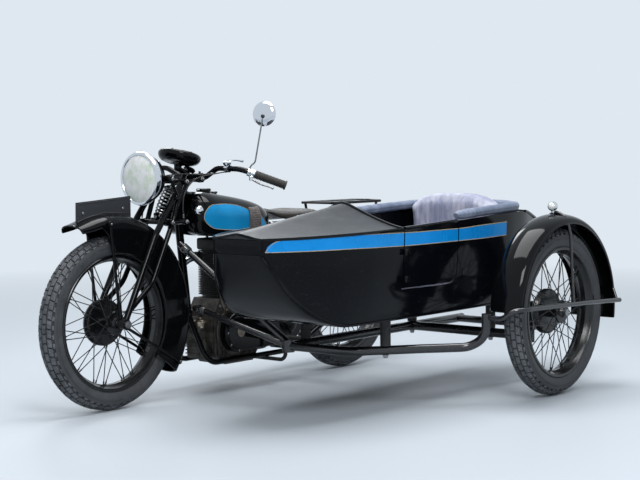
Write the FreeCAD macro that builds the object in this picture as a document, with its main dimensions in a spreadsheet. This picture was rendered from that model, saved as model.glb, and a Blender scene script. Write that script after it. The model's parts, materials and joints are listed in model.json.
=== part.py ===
import FreeCAD, Part
import math
import os
import re
from FreeCAD import Placement, Rotation, Vector
import Sketcher

# Sidecar motorcycle. Millimetres. X forward from the rear axle, Y to the left from the
# motorcycle's centre plane, Z up from the floor. Each sub-part's Placement then moves it by
# the row shift, so that the origin lies under the middle of the whole outfit.

SIZES = {
    "shift_x": 618,
    "shift_y": 430,
    # wheels and tyres, all three alike
    "wheelbase": 1406,
    "track": 1153,
    "wheel_lead": 96,
    "wheel_radius": 330,
    "tyre_width": 86,
    "bead_radius": 248,
    "bead_half_width": 27,
    "seat_clearance": 0.3,
    "rim_flange_height": 9,
    "rim_half_width": 34,
    "rim_depth": 12,
    "rim_thickness": 3.5,
    "spoke_count": 36,
    "spoke_width": 3.2,
    "spoke_sweep": 58,
    "drum_spoke_sweep": 34,
    "hub_radius": 25,
    "hub_flange_radius": 45,
    "hub_flange_y": 32,
    "hub_flange_thickness": 5,
    "drum_radius": 89,
    "drum_depth": 26,
    "axle_radius": 8,
    "axle_clearance": 0.5,
    "axle_nut_radius": 14,
    "plate_thickness": 5,
    "plate_clearance": 1,
    # steering head
    "rake": 29,
    "steer_x": 1032,
    "steer_z": 780,
    "head_half_length": 84,
    "head_radius": 21,
    "stem_radius": 13,
    "crown_thickness": 18,
    # girder fork
    "fork_axle_y": 84,
    "fork_top_y": 68,
    "fork_tube_radius": 12,
    "fork_head_x": 1078,
    "fork_head_z": 856,
    "fork_knee_x": 1236,
    "fork_knee_z": 650,
    "fork_bow_x": 1128,
    "fork_bow_z": 712,
    "fork_heel_x": 1258,
    "fork_heel_z": 470,
    "fork_link_x": 1160,
    "fork_link_z": 700,
    "link_radius": 8,
    "spring_radius": 21,
    "spring_wire": 7,
    "spring_low_x": 1136,
    "spring_low_z": 722,
    "spring_top_x": 1075,
    "spring_top_z": 827,
    # lamps and controls
    "lamp_x": 1211,
    "lamp_z": 870,
    "lamp_radius": 102,
    "lamp_depth": 70,
    "lamp_rim_depth": 22,
    "glass_radius": 90,
    "pod_x": 1022,
    "pod_z": 947,
    "pod_radius": 86,
    "pod_depth": 40,
    "pod_tilt": 15,
    "bar_radius": 11,
    "bar_clamp_x": 942,
    "bar_clamp_z": 868,
    "grip_radius": 16,
    "grip_length": 122,
    "lever_radius": 5,
    "mirror_radius": 48,
    "mirror_thickness": 14,
    # mudguards
    "guard_thickness": 2.5,
    "front_guard_radius": 400,
    "front_guard_shift_x": 9,
    "front_guard_shift_z": 13,
    "front_guard_half_width": 60,
    "front_guard_rise": 30,
    "front_guard_valance": 120,
    "front_guard_start": 62,
    "front_guard_end": 216,
    "front_valance_start": 84,
    "rear_guard_radius": 375,
    "rear_guard_half_width": 68,
    "rear_guard_rise": 40,
    "rear_guard_valance": 62,
    "rear_guard_start": 30,
    "rear_guard_end": 196,
    "side_guard_radius": 388,
    "side_guard_half_width": 75,
    "side_guard_rise": 50,
    "side_guard_valance": 70,
    "side_guard_start": 5,
    "side_guard_end": 188,
    "guard_stay_radius": 5,
    # motorcycle frame
    "frame_tube_radius": 14,
    "cradle_tube_radius": 11,
    "cradle_y": 86,
    "cradle_z": 130,
    "rear_lug_y": 100,
    "rear_lug_thickness": 24,
    "rear_lug_radius": 30,
    "seat_lug_x": 500,
    "seat_lug_z": 655,
    "seat_tube_foot_x": 385,
    "down_tube_foot_x": 985,
    "down_tube_foot_z": 330,
    # engine and gearbox
    "crank_x": 800,
    "crank_z": 245,
    "crankcase_half_width": 72,
    "crankcase_top": 380,
    "crankcase_bottom": 112,
    "crankcase_rear": 650,
    "crankcase_front": 935,
    "barrel_radius": 50,
    "fin_half_width": 74,
    "fin_thickness": 3,
    "fin_pitch": 14,
    "fin_count": 14,
    "engine_height": 218,
    "gearbox_x": 505,
    "gearbox_z": 265,
    "chaincase_y": 72,
    "chaincase_thickness": 46,
    "clutch_case_radius": 98,
    "crank_case_radius": 84,
    "chain_y": 55,
    "chain_width": 14,
    "chain_thickness": 8,
    "sprocket_radius": 38,
    "rear_sprocket_radius": 96,
    "exhaust_radius": 20,
    "silencer_radius": 40,
    "silencer_y": 172,
    "silencer_z": 222,
    # tank and saddle
    "tank_half_width": 122,
    "tank_bottom": 632,
    "tank_top": 812,
    "tank_tunnel_half_width": 24,
    "saddle_rear_x": 285,
    "saddle_front_x": 552,
    "saddle_top": 728,
    "saddle_thickness": 58,
    "saddle_half_width": 130,
    # sidecar body
    "body_y": 660,
    "body_half_width": 280,
    "nose_x": 1405,
    "wall": 12,
    "deck_thickness": 8,
    "body_bottom": 345,
    "cockpit_front": 812,
    "cockpit_rear": -70,
    "roll_radius": 19,
    "door_front": 806,
    "door_rear": 449,
    "door_bottom": 460,
    "door_corner": 50,
    "door_gap": 5,
    "hinge_radius": 5.5,
    # sidecar chassis
    "chassis_radius": 19,
    "chassis_z": 225,
    "chassis_y": 460,
    "upright_y": 1035,
    "stay_radius": 13,
}

document = FreeCAD.newDocument("sidecar_motorcycle")
sheet = document.addObject("Spreadsheet::Sheet", "sizes")


# A size that knows the sheet expression it comes from
class Dim(float):
    def __new__(cls, number, text):
        made = float.__new__(cls, number)
        made.text = text
        return made


def text_of(value):
    return getattr(value, "text", None) or repr(float(value))


def joined(operator, worked_out):
    def method(self, other):
        return Dim(worked_out(float(self), float(other)), f"({text_of(self)} {operator} {text_of(other)})")
    return method


def flipped(operator, worked_out):
    def method(self, other):
        return Dim(worked_out(float(other), float(self)), f"({text_of(other)} {operator} {text_of(self)})")
    return method


for operator, name, worked_out in (("+", "add", lambda a, b: a + b), ("-", "sub", lambda a, b: a - b),
                                   ("*", "mul", lambda a, b: a * b), ("/", "truediv", lambda a, b: a / b)):
    setattr(Dim, f"__{name}__", joined(operator, worked_out))
    setattr(Dim, f"__r{name}__", flipped(operator, worked_out))
Dim.__neg__ = lambda self: 0 - self


class Sizes:
    pass


s = Sizes()
for row, (alias, number) in enumerate(SIZES.items(), start=1):
    sheet.set(f"A{row}", alias)
    sheet.set(f"B{row}", str(number))
    sheet.setAlias(f"B{row}", alias)
    setattr(s, alias, Dim(number, f"sizes.{alias}"))
document.recompute()

subparts = []


def bind(thing, prop, value):
    thing.setExpression(prop, text_of(value))


# Names the finished sub-part and moves it from the motorcycle's axes to the shared origin
def finish(thing, label, x=0, y=0, z=0):
    thing.Label = label
    bind(thing, ".Placement.Base.x", x - s.shift_x)
    bind(thing, ".Placement.Base.y", y - s.shift_y)
    bind(thing, ".Placement.Base.z", z + 0 * s.shift_x)
    subparts.append(thing)
    return thing


def feature(label, shape):
    thing = document.addObject("Part::Feature", label)
    matrix = shape.Placement.toMatrix()
    bare = shape.copy()
    bare.Placement = Placement()
    thing.Shape = bare.transformed(matrix, True)
    return finish(thing, label)


# A closed outline on one of the body's own planes, each corner bound to the sheet
def sketch(body, plane, corners, name="outline"):
    made = body.newObject("Sketcher::SketchObject", name)
    support = [item for item in body.Origin.OriginFeatures if item.Role == plane][0]
    made.AttachmentSupport = [(support, "")]
    made.MapMode = "FlatFace"
    points = [Vector(float(a), float(b), 0) for a, b in corners]
    count = len(points)
    for i in range(count):
        made.addGeometry(Part.LineSegment(points[i], points[(i + 1) % count]), False)
    for i in range(count):
        made.addConstraint(Sketcher.Constraint("Coincident", i, 2, (i + 1) % count, 1))
    for i, corner in enumerate(corners):
        for kind, value in zip(("DistanceX", "DistanceY"), corner):
            index = made.addConstraint(Sketcher.Constraint(kind, -1, 1, i, 1, float(value)))
            made.setExpression(f"Constraints[{index}]", text_of(value))
    return made


# A turned piece: its outline is (along the axis, out from the axis)
def turned(name, corners, plane="YZ_Plane"):
    body = document.addObject("PartDesign::Body", name)
    outline = sketch(body, plane, corners)
    turn = body.newObject("PartDesign::Revolution", f"{name}_turn")
    turn.Profile = outline
    turn.ReferenceAxis = (outline, ["H_Axis"])
    turn.Angle = 360
    outline.Visibility = False
    return body


# A plate: its outline is padded to both sides of the plane
def plate(name, corners, thickness, plane="XZ_Plane"):
    body = document.addObject("PartDesign::Body", name)
    outline = sketch(body, plane, corners)
    pad = body.newObject("PartDesign::Pad", f"{name}_pad")
    pad.Profile = outline
    pad.Midplane = True
    bind(pad, "Length", thickness)
    outline.Visibility = False
    return body


def moved(thing, x, y, z):
    bind(thing, ".Placement.Base.x", x)
    bind(thing, ".Placement.Base.y", y)
    bind(thing, ".Placement.Base.z", z)
    return thing


def fused(name, parts):
    thing = document.addObject("Part::MultiFuse", name)
    thing.Shapes = parts
    thing.Refine = True
    return thing


def rod(start, end, radius):
    start, end = Vector(*start), Vector(*end)
    return Part.makeCylinder(float(radius), (end - start).Length, start, end - start)


def ball(centre, radius):
    return Part.makeSphere(float(radius), Vector(*centre))


def block(low, high):
    low, high = Vector(*low), Vector(*high)
    return Part.makeBox(high.x - low.x, high.y - low.y, high.z - low.z, low)


def one(shapes):
    whole = shapes[0].multiFuse(shapes[1:]) if len(shapes) > 1 else shapes[0]
    return whole.removeSplitter()


# A bent tube: straight runs joined by tangent bends, each as large as its runs allow
def bent(points, radius, bend=60):
    points = [Vector(*p) for p in points]
    runs = []
    here = points[0]
    for before, corner, after in zip(points, points[1:], points[2:]):
        into = (corner - before).normalize()
        out = (after - corner).normalize()
        half = into.getAngle(out) / 2
        room = 0.48 * min((corner - before).Length, (after - corner).Length)
        setback = min(max(bend, radius * 1.5) * math.tan(half), room)
        first = corner - into * setback
        middle_way = (out - into).normalize()
        centre = corner + middle_way * (setback / math.sin(half))
        runs.append(rod(here, first, radius))
        ring = Part.Face(Part.Wire(Part.makeCircle(float(radius), first, into)))
        runs.append(ring.revolve(centre, into.cross(out), math.degrees(2 * half)))
        here = corner + out * setback
    runs.append(rod(here, points[-1], radius))
    return runs[0].multiFuse(runs[1:])


# A cross-section at one X: a rounded rectangle, with its own corner radii above and below
def section(x, y_mid, half_width, bottom, top, top_round, bottom_round):
    low_y, high_y = y_mid - half_width, y_mid + half_width
    diagonal = 1 - math.sqrt(0.5)
    t, b = top_round, bottom_round
    spots = [
        (low_y + b, bottom), (high_y - b, bottom), (high_y - b * diagonal, bottom + b * diagonal),
        (high_y, bottom + b), (high_y, top - t), (high_y - t * diagonal, top - t * diagonal),
        (high_y - t, top), (low_y + t, top), (low_y + t * diagonal, top - t * diagonal),
        (low_y, top - t), (low_y, bottom + b), (low_y + b * diagonal, bottom + b * diagonal),
    ]
    p = [Vector(x, float(y), float(z)) for y, z in spots]
    return Part.Wire([
        Part.LineSegment(p[0], p[1]).toShape(), Part.Arc(p[1], p[2], p[3]).toShape(),
        Part.LineSegment(p[3], p[4]).toShape(), Part.Arc(p[4], p[5], p[6]).toShape(),
        Part.LineSegment(p[6], p[7]).toShape(), Part.Arc(p[7], p[8], p[9]).toShape(),
        Part.LineSegment(p[9], p[10]).toShape(), Part.Arc(p[10], p[11], p[0]).toShape(),
    ])


def loft(sections):
    return Part.makeLoft(sections, True, True)


# Reads a smooth value between stations, as a shipwright reads a half-width off the lines
def faired(stations, x):
    stations = sorted(stations)
    for (x0, v0), (x1, v1) in zip(stations, stations[1:]):
        if x <= x1:
            part = (x - x0) / (x1 - x0)
            return v0 + (v1 - v0) * part
    return stations[-1][1]


# Wheels
def tyre(name):
    half = s.tyre_width / 2
    seat = s.bead_half_width
    height = s.wheel_radius - s.bead_radius
    side = [(seat, s.bead_radius), (half, s.bead_radius + height * 0.5), (half * 0.72, s.wheel_radius - 9)]
    corners = side + [(0 * half, s.wheel_radius)] + [(-y, r) for y, r in reversed(side)]
    return turned(name, corners)


def spokes(drum_side):
    shapes = []
    per_set = int(s.spoke_count / 4)
    step = 360 / per_set
    rim_reach = s.bead_radius - s.rim_depth + 1
    for side in (1, -1):
        on_drum = side == drum_side
        reach = s.drum_radius - 6 if on_drum else s.hub_flange_radius - 6
        sweep = s.drum_spoke_sweep if on_drum else s.spoke_sweep
        flange = s.hub_flange_y - 8 if on_drum else s.hub_flange_y
        for lean, offset in ((1, 4), (-1, -2)):
            for i in range(per_set):
                angle = step * (i + 0.25 * (1 - side) / 2 + 0.5 * (lean < 0))
                foot = math.radians(angle)
                tip = math.radians(angle + lean * sweep)
                y = side * (flange + offset)
                start = Vector(math.cos(foot) * reach, y, math.sin(foot) * reach)
                end = Vector(math.cos(tip) * rim_reach, side * 8, math.sin(tip) * rim_reach)
                along = (end - start).normalize()
                corner = along.cross(Vector(0, 1, 0)).normalize() * (s.spoke_width / 1.6)
                other = along.cross(corner)
                ring = [start + corner, start + other, start - corner, start - other, start + corner]
                shapes.append(Part.Face(Part.makePolygon(ring)).extrude(end - start))
    return shapes


def rim(name):
    flange = s.bead_radius + s.rim_flange_height
    seat = s.bead_radius - s.seat_clearance
    well = s.bead_radius - s.rim_depth
    side = [(s.bead_half_width * 0.45, well + s.rim_thickness), (s.bead_half_width - 1, seat),
            (s.rim_half_width, seat), (s.rim_half_width, flange), (s.rim_half_width + s.rim_thickness, flange),
            (s.rim_half_width + s.rim_thickness, seat - s.rim_thickness), (s.bead_half_width * 0.45, well)]
    corners = side + [(-y, r) for y, r in reversed(side)]
    return turned(name, corners)


# drum_side is +1 for a brake drum on the left, -1 for one on the right
def hub(name, drum_side, sprocket=False, cap=0):
    bore = s.axle_radius + s.axle_clearance
    flange_in = s.hub_flange_y - s.hub_flange_thickness / 2
    flange_out = s.hub_flange_y + s.hub_flange_thickness / 2
    plain = [
        (s.hub_flange_y + 16, bore), (s.hub_flange_y + 16, s.hub_radius - 7),
        (flange_out, s.hub_radius - 3), (flange_out, s.hub_flange_radius),
        (flange_in, s.hub_flange_radius), (flange_in, s.hub_radius),
    ]
    drum_in = s.hub_flange_y - 12
    drum_out = drum_in + s.drum_depth
    braked = [(drum_in, s.hub_radius), (drum_in, s.drum_radius)]
    if sprocket:
        face = s.chain_y - 3
        braked += [(face, s.drum_radius), (face, s.rear_sprocket_radius), (face + 5, s.rear_sprocket_radius),
                   (face + 5, s.drum_radius - 10)]
        drum_out = face + 5
    else:
        braked += [(drum_out, s.drum_radius), (drum_out, s.drum_radius - 6)]
    braked += [(drum_in + 6, s.drum_radius - 10), (drum_in + 6, s.hub_radius - 4), (drum_out - 2, s.hub_radius - 6),
               (drum_out - 2, bore)]
    corners = [(-drum_side * y, r) for y, r in plain] + [(drum_side * y, r) for y, r in braked]
    return turned(name, corners)


def wire_wheel(label, x, y, drum_side, sprocket=False):
    wires = document.addObject("Part::Feature", f"{label}_spokes")
    wires.Shape = Part.makeCompound(spokes(drum_side))
    wheel = fused(label, [rim(f"{label}_rim"), hub(f"{label}_hub", drum_side, sprocket), wires])
    wheel.Refine = False
    return finish(wheel, label, x, y, s.wheel_radius)


finish(tyre("front_tyre"), "front_tyre", s.wheelbase, 0 * s.track, s.wheel_radius)
finish(tyre("rear_tyre"), "rear_tyre", 0 * s.wheelbase, 0 * s.track, s.wheel_radius)
finish(tyre("sidecar_tyre"), "sidecar_tyre", s.wheel_lead, s.track, s.wheel_radius)
wire_wheel("front_wire_wheel", s.wheelbase, 0 * s.track, -1)
wire_wheel("rear_wire_wheel", 0 * s.wheelbase, 0 * s.track, 1, sprocket=True)
wire_wheel("sidecar_wire_wheel", s.wheel_lead, s.track, -1)


# An axle from low to high along Y, with the fixed brake plate that closes the drum
def axle(label, x, y, low, high, drum_side, drum_out, nuts):
    near = drum_out + s.plate_clearance
    far = near + s.plate_thickness
    corners = [(low, 0 * low), (low, s.axle_radius), (high, s.axle_radius), (high, 0 * low)]
    bar = turned(f"{label}_bar", corners)
    disc_corners = [(near, 0 * low), (near, s.drum_radius - 3), (far - 1, s.drum_radius - 3),
                    (far, s.drum_radius - 14), (far + 4, s.axle_nut_radius + 8), (far + 4, 0 * low)]
    disc = turned(f"{label}_plate", [(drum_side * a, r) for a, r in disc_corners])
    pieces = [bar, disc]
    for index, (start, end) in enumerate(nuts):
        nut = [(start, 0 * low), (start, s.axle_nut_radius), (end, s.axle_nut_radius), (end, 0 * low)]
        pieces.append(turned(f"{label}_nut_{index}", nut))
    return finish(fused(label, pieces), label, x, y, s.wheel_radius)


drum_face = s.hub_flange_y - 12 + s.drum_depth
eye_half = 14 + s.seat_clearance
fork_out, fork_in = s.fork_axle_y + eye_half, s.fork_axle_y - eye_half
axle("front_axle", s.wheelbase, 0 * s.track, -fork_out - 12, fork_out + 12, -1, drum_face,
     [(fork_out, fork_out + 10), (-fork_out - 10, -fork_out),
      (s.hub_flange_y + 18, fork_in), (-fork_in, -s.hub_flange_y - 20)])


# Mudguards: a rolled sheet section turned about its own centre
def guard_corners(radius, half_width, rise, valance):
    t = s.guard_thickness
    crown = [(0, 0), (0.45, 0.12), (0.8, 0.48), (1, 1)]
    outer = [(half_width * a, radius - rise * b) for a, b in crown] + [(half_width * 1.0, radius - rise - valance)]
    inner = [((half_width - t) * a, radius - t - rise * b) for a, b in crown]
    inner += [((half_width - t) * 1.0, radius - rise - valance)]
    left = [(-y, r) for y, r in reversed(outer)][:-1]
    left_inner = [(-y, r) for y, r in reversed(inner)][:-1]
    return left + outer + list(reversed(inner)) + list(reversed(left_inner))


def guard(name, radius, half_width, rise, valance, start, end):
    body = document.addObject("PartDesign::Body", name)
    outline = sketch(body, "YZ_Plane", guard_corners(radius, half_width, rise, valance))
    turn = body.newObject("PartDesign::Revolution", f"{name}_turn")
    turn.Profile = outline
    turn.ReferenceAxis = (outline, ["H_Axis"])
    bind(turn, "Angle", end - start)
    outline.Visibility = False
    body.Placement = Placement(Vector(), Rotation(Vector(0, -1, 0), float(end) - 90))
    bind(body, ".Placement.Rotation.Angle", end - 90)
    return body


front_shallow = guard("front_guard_crown", s.front_guard_radius, s.front_guard_half_width, s.front_guard_rise,
                      8 + 0 * s.wall, s.front_guard_start, s.front_guard_end)
front_deep = guard("front_guard_valance", s.front_guard_radius, s.front_guard_half_width, s.front_guard_rise,
                   s.front_guard_valance, s.front_valance_start, s.front_guard_end)
guard_x = s.wheelbase + s.front_guard_shift_x
guard_z = s.wheel_radius + s.front_guard_shift_z
finish(fused("front_mudguard", [front_shallow, front_deep]), "front_mudguard", guard_x, 0 * s.track, guard_z)
finish(guard("rear_mudguard", s.rear_guard_radius, s.rear_guard_half_width, s.rear_guard_rise,
             s.rear_guard_valance, s.rear_guard_start, s.rear_guard_end),
       "rear_mudguard", 0 * s.track, 0 * s.track, s.wheel_radius)
finish(guard("sidecar_mudguard", s.side_guard_radius, s.side_guard_half_width, s.side_guard_rise,
             s.side_guard_valance, s.side_guard_start, s.side_guard_end),
       "sidecar_mudguard", s.wheel_lead, s.track, s.wheel_radius)


# Steering head: a point so far up the steering axis from its middle, and so far to the side
rake = math.radians(s.rake)


def on_axis(along, y=0, ahead=0):
    x = s.steer_x - math.sin(rake) * along + math.cos(rake) * ahead
    z = s.steer_z + math.cos(rake) * along + math.sin(rake) * ahead
    return (x, y, z)


# The girder's points on one side: down the front tube, then down the rear one, then the lower spindle
def front_points(side):
    foot = Vector(s.wheelbase, side * s.fork_axle_y, s.wheel_radius)
    knee = Vector(s.fork_knee_x, side * (s.fork_top_y + 8), s.fork_knee_z)
    head = Vector(s.fork_head_x, side * s.fork_top_y, s.fork_head_z)
    bow = Vector(s.fork_bow_x, side * (s.fork_top_y + 3), s.fork_bow_z)
    heel = Vector(s.fork_heel_x, side * (s.fork_top_y + 12), s.fork_heel_z)
    link = Vector(s.fork_link_x, side * (s.fork_top_y + 3), s.fork_link_z)
    return foot, knee, head, bow, heel, link


spring_low = (s.spring_low_x, 0, s.spring_low_z)
spring_top = (s.spring_top_x, 0, s.spring_top_z)
half_head = s.head_half_length
crown = s.crown_thickness
low_crown = -half_head - 1 - crown / 2
top_crown = half_head + 1 + crown / 2
link_y = s.fork_top_y + s.fork_tube_radius + 6


def crown_plate(along):
    low = on_axis(along - crown / 2, 0)
    high = on_axis(along + crown / 2, 0)
    disc = rod(low, high, s.head_radius + 2)
    corners = [on_axis(along - crown / 2 + 1, -link_y - 6, ahead) for ahead in (-4, 16)]
    corners += [on_axis(along + crown / 2 - 1, -link_y - 6, ahead) for ahead in (16, -4)]
    ring = Part.makePolygon([Vector(*corner) for corner in corners + corners[:1]])
    ears = Part.Face(ring).extrude(Vector(0, 2 * (link_y + 6), 0))
    return [disc, ears]


stem = [rod(on_axis(low_crown), on_axis(top_crown + 24), s.stem_radius)]
stem += crown_plate(low_crown) + crown_plate(top_crown)
stem.append(rod(on_axis(top_crown + 10), on_axis(top_crown + 22), s.head_radius - 4))


# Links that carry the girder on the crowns
def links():
    shapes = []
    for side in (1, -1):
        foot, knee, head, bow, heel, link = front_points(side)
        for along, on_fork in ((low_crown, link), (top_crown, head)):
            near = on_fork.y * side + s.fork_tube_radius + s.seat_clearance
            start = Vector(*on_axis(along, side * (near + 6), 6))
            end = Vector(on_fork.x, side * (near + 6), on_fork.z)
            shapes.append(rod(start, end, s.link_radius - 2))
            shapes += [Part.makeCylinder(12, 12, Vector(eye.x, side * (near + 6) - 6, eye.z), Vector(0, 1, 0))
                       for eye in (start, end)]
    return shapes


def spring_lug():
    rise = (Vector(s.spring_top_x, 0, s.spring_top_z) - Vector(s.spring_low_x, 0, s.spring_low_z)).normalize()
    seat = Vector(s.spring_top_x, 0, s.spring_top_z) + rise * s.seat_clearance
    return [Part.makeCylinder(s.spring_radius - 3, 7, seat, rise), rod(on_axis(top_crown + 4, 0, 6), seat + rise * 11, 7)]


def pod_post():
    tilt = math.radians(s.pod_tilt)
    way = Vector(-math.sin(tilt), 0, math.cos(tilt))
    centre = Vector(s.pod_x, 0, s.pod_z)
    top = centre - way * (s.pod_depth / 2 + s.seat_clearance)
    foot = centre - way * s.pod_depth
    return [rod(foot, top, 14), ball(foot, 14), rod(on_axis(top_crown + 20), foot, 11)]


stem += links() + spring_lug() + pod_post()
stem.append(rod(on_axis(top_crown + 4), (s.bar_clamp_x, 0, s.bar_clamp_z), s.bar_radius + 5))
clamp = Part.makeCylinder(s.bar_radius + 7, 34, Vector(s.bar_clamp_x, -17, s.bar_clamp_z), Vector(0, 1, 0))
bar_hole = Part.makeCylinder(s.bar_radius + s.seat_clearance, 80, Vector(s.bar_clamp_x, -40, s.bar_clamp_z), Vector(0, 1, 0))
head_room = rod(on_axis(-half_head - 0.8), on_axis(half_head + 0.8), s.head_radius + 1)
head_room = head_room.cut(rod(on_axis(-half_head - 5), on_axis(half_head + 5), s.stem_radius))
feature("steering_stem", one(stem + [clamp]).cut(bar_hole).cut(head_room))


def girder():
    shapes = []
    for side in (1, -1):
        foot, knee, head, bow, heel, link = front_points(side)
        shapes.append(bent([foot, knee, head], s.fork_tube_radius, 90))
        shapes.append(bent([foot + (knee - foot) * 0.14, heel, bow, head], s.fork_tube_radius - 2, 120))
        on_front = knee + (head - knee) * ((link.z - knee.z) / (head.z - knee.z))
        on_rear = heel + (bow - heel) * ((link.z - heel.z) / (bow.z - heel.z))
        shapes.append(rod(on_rear, on_front, s.link_radius))
        shapes += [Part.makeCylinder(s.fork_tube_radius + 2, 2 * s.fork_tube_radius,
                                     spot - Vector(0, s.fork_tube_radius, 0), Vector(0, 1, 0)) for spot in (head, link)]
        shapes.append(Part.makeCylinder(20, 28, Vector(s.wheelbase, side * s.fork_axle_y - 14, s.wheel_radius),
                                        Vector(0, 1, 0)))
    foot, knee, head, bow, heel, link = front_points(1)
    shapes += [rod(Vector(spot.x, -spot.y, spot.z), spot, s.fork_tube_radius - 3) for spot in (head, link)]
    rise = (Vector(*spring_top) - Vector(*spring_low)).normalize()
    seat = Vector(*spring_low) - rise * (8 + s.seat_clearance)
    shapes.append(rod(seat + rise * 3, Vector(link.x, 0, link.z), 7))
    shapes.append(Part.makeCylinder(s.spring_radius, 8, seat, rise))
    bore = Part.makeCylinder(s.axle_radius + 0.3, 400, Vector(s.wheelbase, -200, s.wheel_radius), Vector(0, 1, 0))
    return one(shapes).cut(bore)


feature("girder_fork", girder())


# The spring between the girder and the stem
def fork_spring():
    foot, top = Vector(*spring_low), Vector(*spring_top)
    rise = (top - foot).normalize()
    core = rod(foot, top, s.spring_radius - s.spring_wire - 2)
    collars = [rod(foot, foot + rise * 7, s.spring_radius - 1), rod(top - rise * 7, top, s.spring_radius - 1)]
    return one([core] + collars)


feature("fork_spring", fork_spring())


# Headlamp, its brackets and the instrument drum above it
def lamp_shell():
    r, d, front = s.lamp_radius, s.lamp_depth, s.lamp_rim_depth
    corners = [(-d, 0 * r), (-d + 3, r * 0.3), (-d * 0.85, r * 0.55), (-d * 0.6, r * 0.8), (-d * 0.3, r * 0.94),
               (0 * d, r - 4), (0 * d, r), (front, r), (front + 2, r - 4), (front, s.glass_radius + s.seat_clearance),
               (front - 14, s.glass_radius + s.seat_clearance), (front - 14, 0 * r)]
    return turned("headlamp_bowl", corners, "XZ_Plane")


def lamp_glass():
    r, front = s.glass_radius, s.lamp_rim_depth
    corners = [(front - 13, 0 * r), (front - 13, r), (front - 4, r), (front + 3, r * 0.86), (front + 9, r * 0.55),
               (front + 12, r * 0.2), (front + 12, 0 * r)]
    return turned("headlamp_front", corners, "XZ_Plane")


shell = moved(lamp_shell(), s.lamp_x, 0 * s.track, s.lamp_z)
ear_shapes = []
for side in (1, -1):
    foot, knee, head, bow, heel, link = front_points(side)
    boss = knee + (head - knee) * 0.72
    boss += Vector(0, side * (s.fork_tube_radius + s.seat_clearance), 0)
    lamp_side = Vector(s.lamp_x - 40, side * (s.lamp_radius + 2), s.lamp_z)
    ear_shapes.append(rod(lamp_side - Vector(0, side * 30, 0), lamp_side + Vector(0, side * 5, 0), 9))
    ear_shapes.append(rod(boss, boss + Vector(0, side * 12, 0), 8))
    ear_shapes.append(rod(lamp_side, boss + Vector(0, side * 6, 0), 6))
document.recompute()
feature("headlamp_shell", one([shell.Shape] + ear_shapes))
finish(lamp_glass(), "headlamp_glass", s.lamp_x, 0 * s.track, s.lamp_z)

pod = turned("instrument_pod", [(-s.pod_depth / 2, 0 * s.track), (-s.pod_depth / 2, s.pod_radius * 0.9),
                                (-s.pod_depth / 2 + 8, s.pod_radius), (s.pod_depth / 2 - 5, s.pod_radius),
                                (s.pod_depth / 2, s.pod_radius - 4), (s.pod_depth / 2, s.pod_radius - 14),
                                (s.pod_depth / 2 - 4, s.pod_radius - 16), (s.pod_depth / 2 - 4, 0 * s.track)], "XZ_Plane")
pod.Placement = Placement(Vector(), Rotation(Vector(0, -1, 0), 90 + float(s.pod_tilt)))
bind(pod, ".Placement.Rotation.Angle", 90 + s.pod_tilt)
finish(pod, "instrument_pod", s.pod_x, 0 * s.track, s.pod_z)
# Handlebar and what is on it
def bar_route(side):
    return [(s.bar_clamp_x, 0, s.bar_clamp_z), (s.bar_clamp_x, side * 62, s.bar_clamp_z),
            (952, side * 140, 907), (952, side * 262, 904), (838, side * 391, 840)]


left, right = [bent(bar_route(side), s.bar_radius, 70) for side in (1, -1)]
feature("handlebar", one([left, right]))


def along_grip(side, back, drop=0):
    end, start = Vector(*bar_route(side)[-1]), Vector(*bar_route(side)[-2])
    way = (end - start).normalize()
    return end - way * back - Vector(0, 0, 1) * drop


def grips():
    shapes = []
    for side in (1, -1):
        outer = rod(along_grip(side, s.grip_length), along_grip(side, -6), s.grip_radius)
        inner = rod(along_grip(side, s.grip_length + 20), along_grip(side, -0.3), s.bar_radius + 0.3)
        shapes.append(outer.cut(inner))
    return shapes


def levers():
    shapes = []
    for side in (1, -1):
        clamp = rod(along_grip(side, s.grip_length + 18), along_grip(side, s.grip_length + 1), s.bar_radius + 6)
        hole = rod(along_grip(side, s.grip_length + 60), along_grip(side, s.grip_length - 20), s.bar_radius + 0.3)
        pivot = along_grip(side, s.grip_length + 12, 22) + Vector(16, 0, 0)
        tip = along_grip(side, 30, 44) + Vector(30, side * 4, 0)
        arm = bent([pivot, (pivot + tip) * 0.5 + Vector(10, side * 6, 0), tip], s.lever_radius, 60)
        neck = rod(along_grip(side, s.grip_length + 12, s.bar_radius + 8), pivot, 7)
        shapes.append(one([clamp.cut(hole), neck, arm, ball(tip, s.lever_radius + 2)]))
    return shapes


feature("handlebar_grips", Part.makeCompound(grips()))
feature("hand_levers", Part.makeCompound(levers()))

# The mirror on its stalk, clipped on the bar inside the left lever
mirror_spot = Vector(905, 345, 1116)
mirror_way = Vector(math.cos(math.radians(18)), math.sin(math.radians(18)), 0.05).normalize()
mirror_disc = Part.makeCone(s.mirror_radius, s.mirror_radius - 9, s.mirror_thickness, mirror_spot - mirror_way * 7,
                            mirror_way)
clip = rod(along_grip(1, s.grip_length + 32), along_grip(1, s.grip_length + 19.5), s.bar_radius + 5)
clip = clip.cut(rod(along_grip(1, s.grip_length + 60), along_grip(1, s.grip_length), s.bar_radius + 0.4))
clip_top = along_grip(1, s.grip_length + 25.5, -s.bar_radius - 3)
stalk = bent([clip_top, clip_top + Vector(-6, 26, 22), mirror_spot - Vector(0, 0, s.mirror_radius * 0.6)], 4, 30)
feature("mirror", one([mirror_disc, stalk, clip]))


# Front mudguard stays and plate
def on_guard(degrees, radius=0, y=0):
    turn = math.radians(degrees)
    return Vector(guard_x + math.cos(turn) * radius, y, guard_z + math.sin(turn) * radius)


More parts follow.
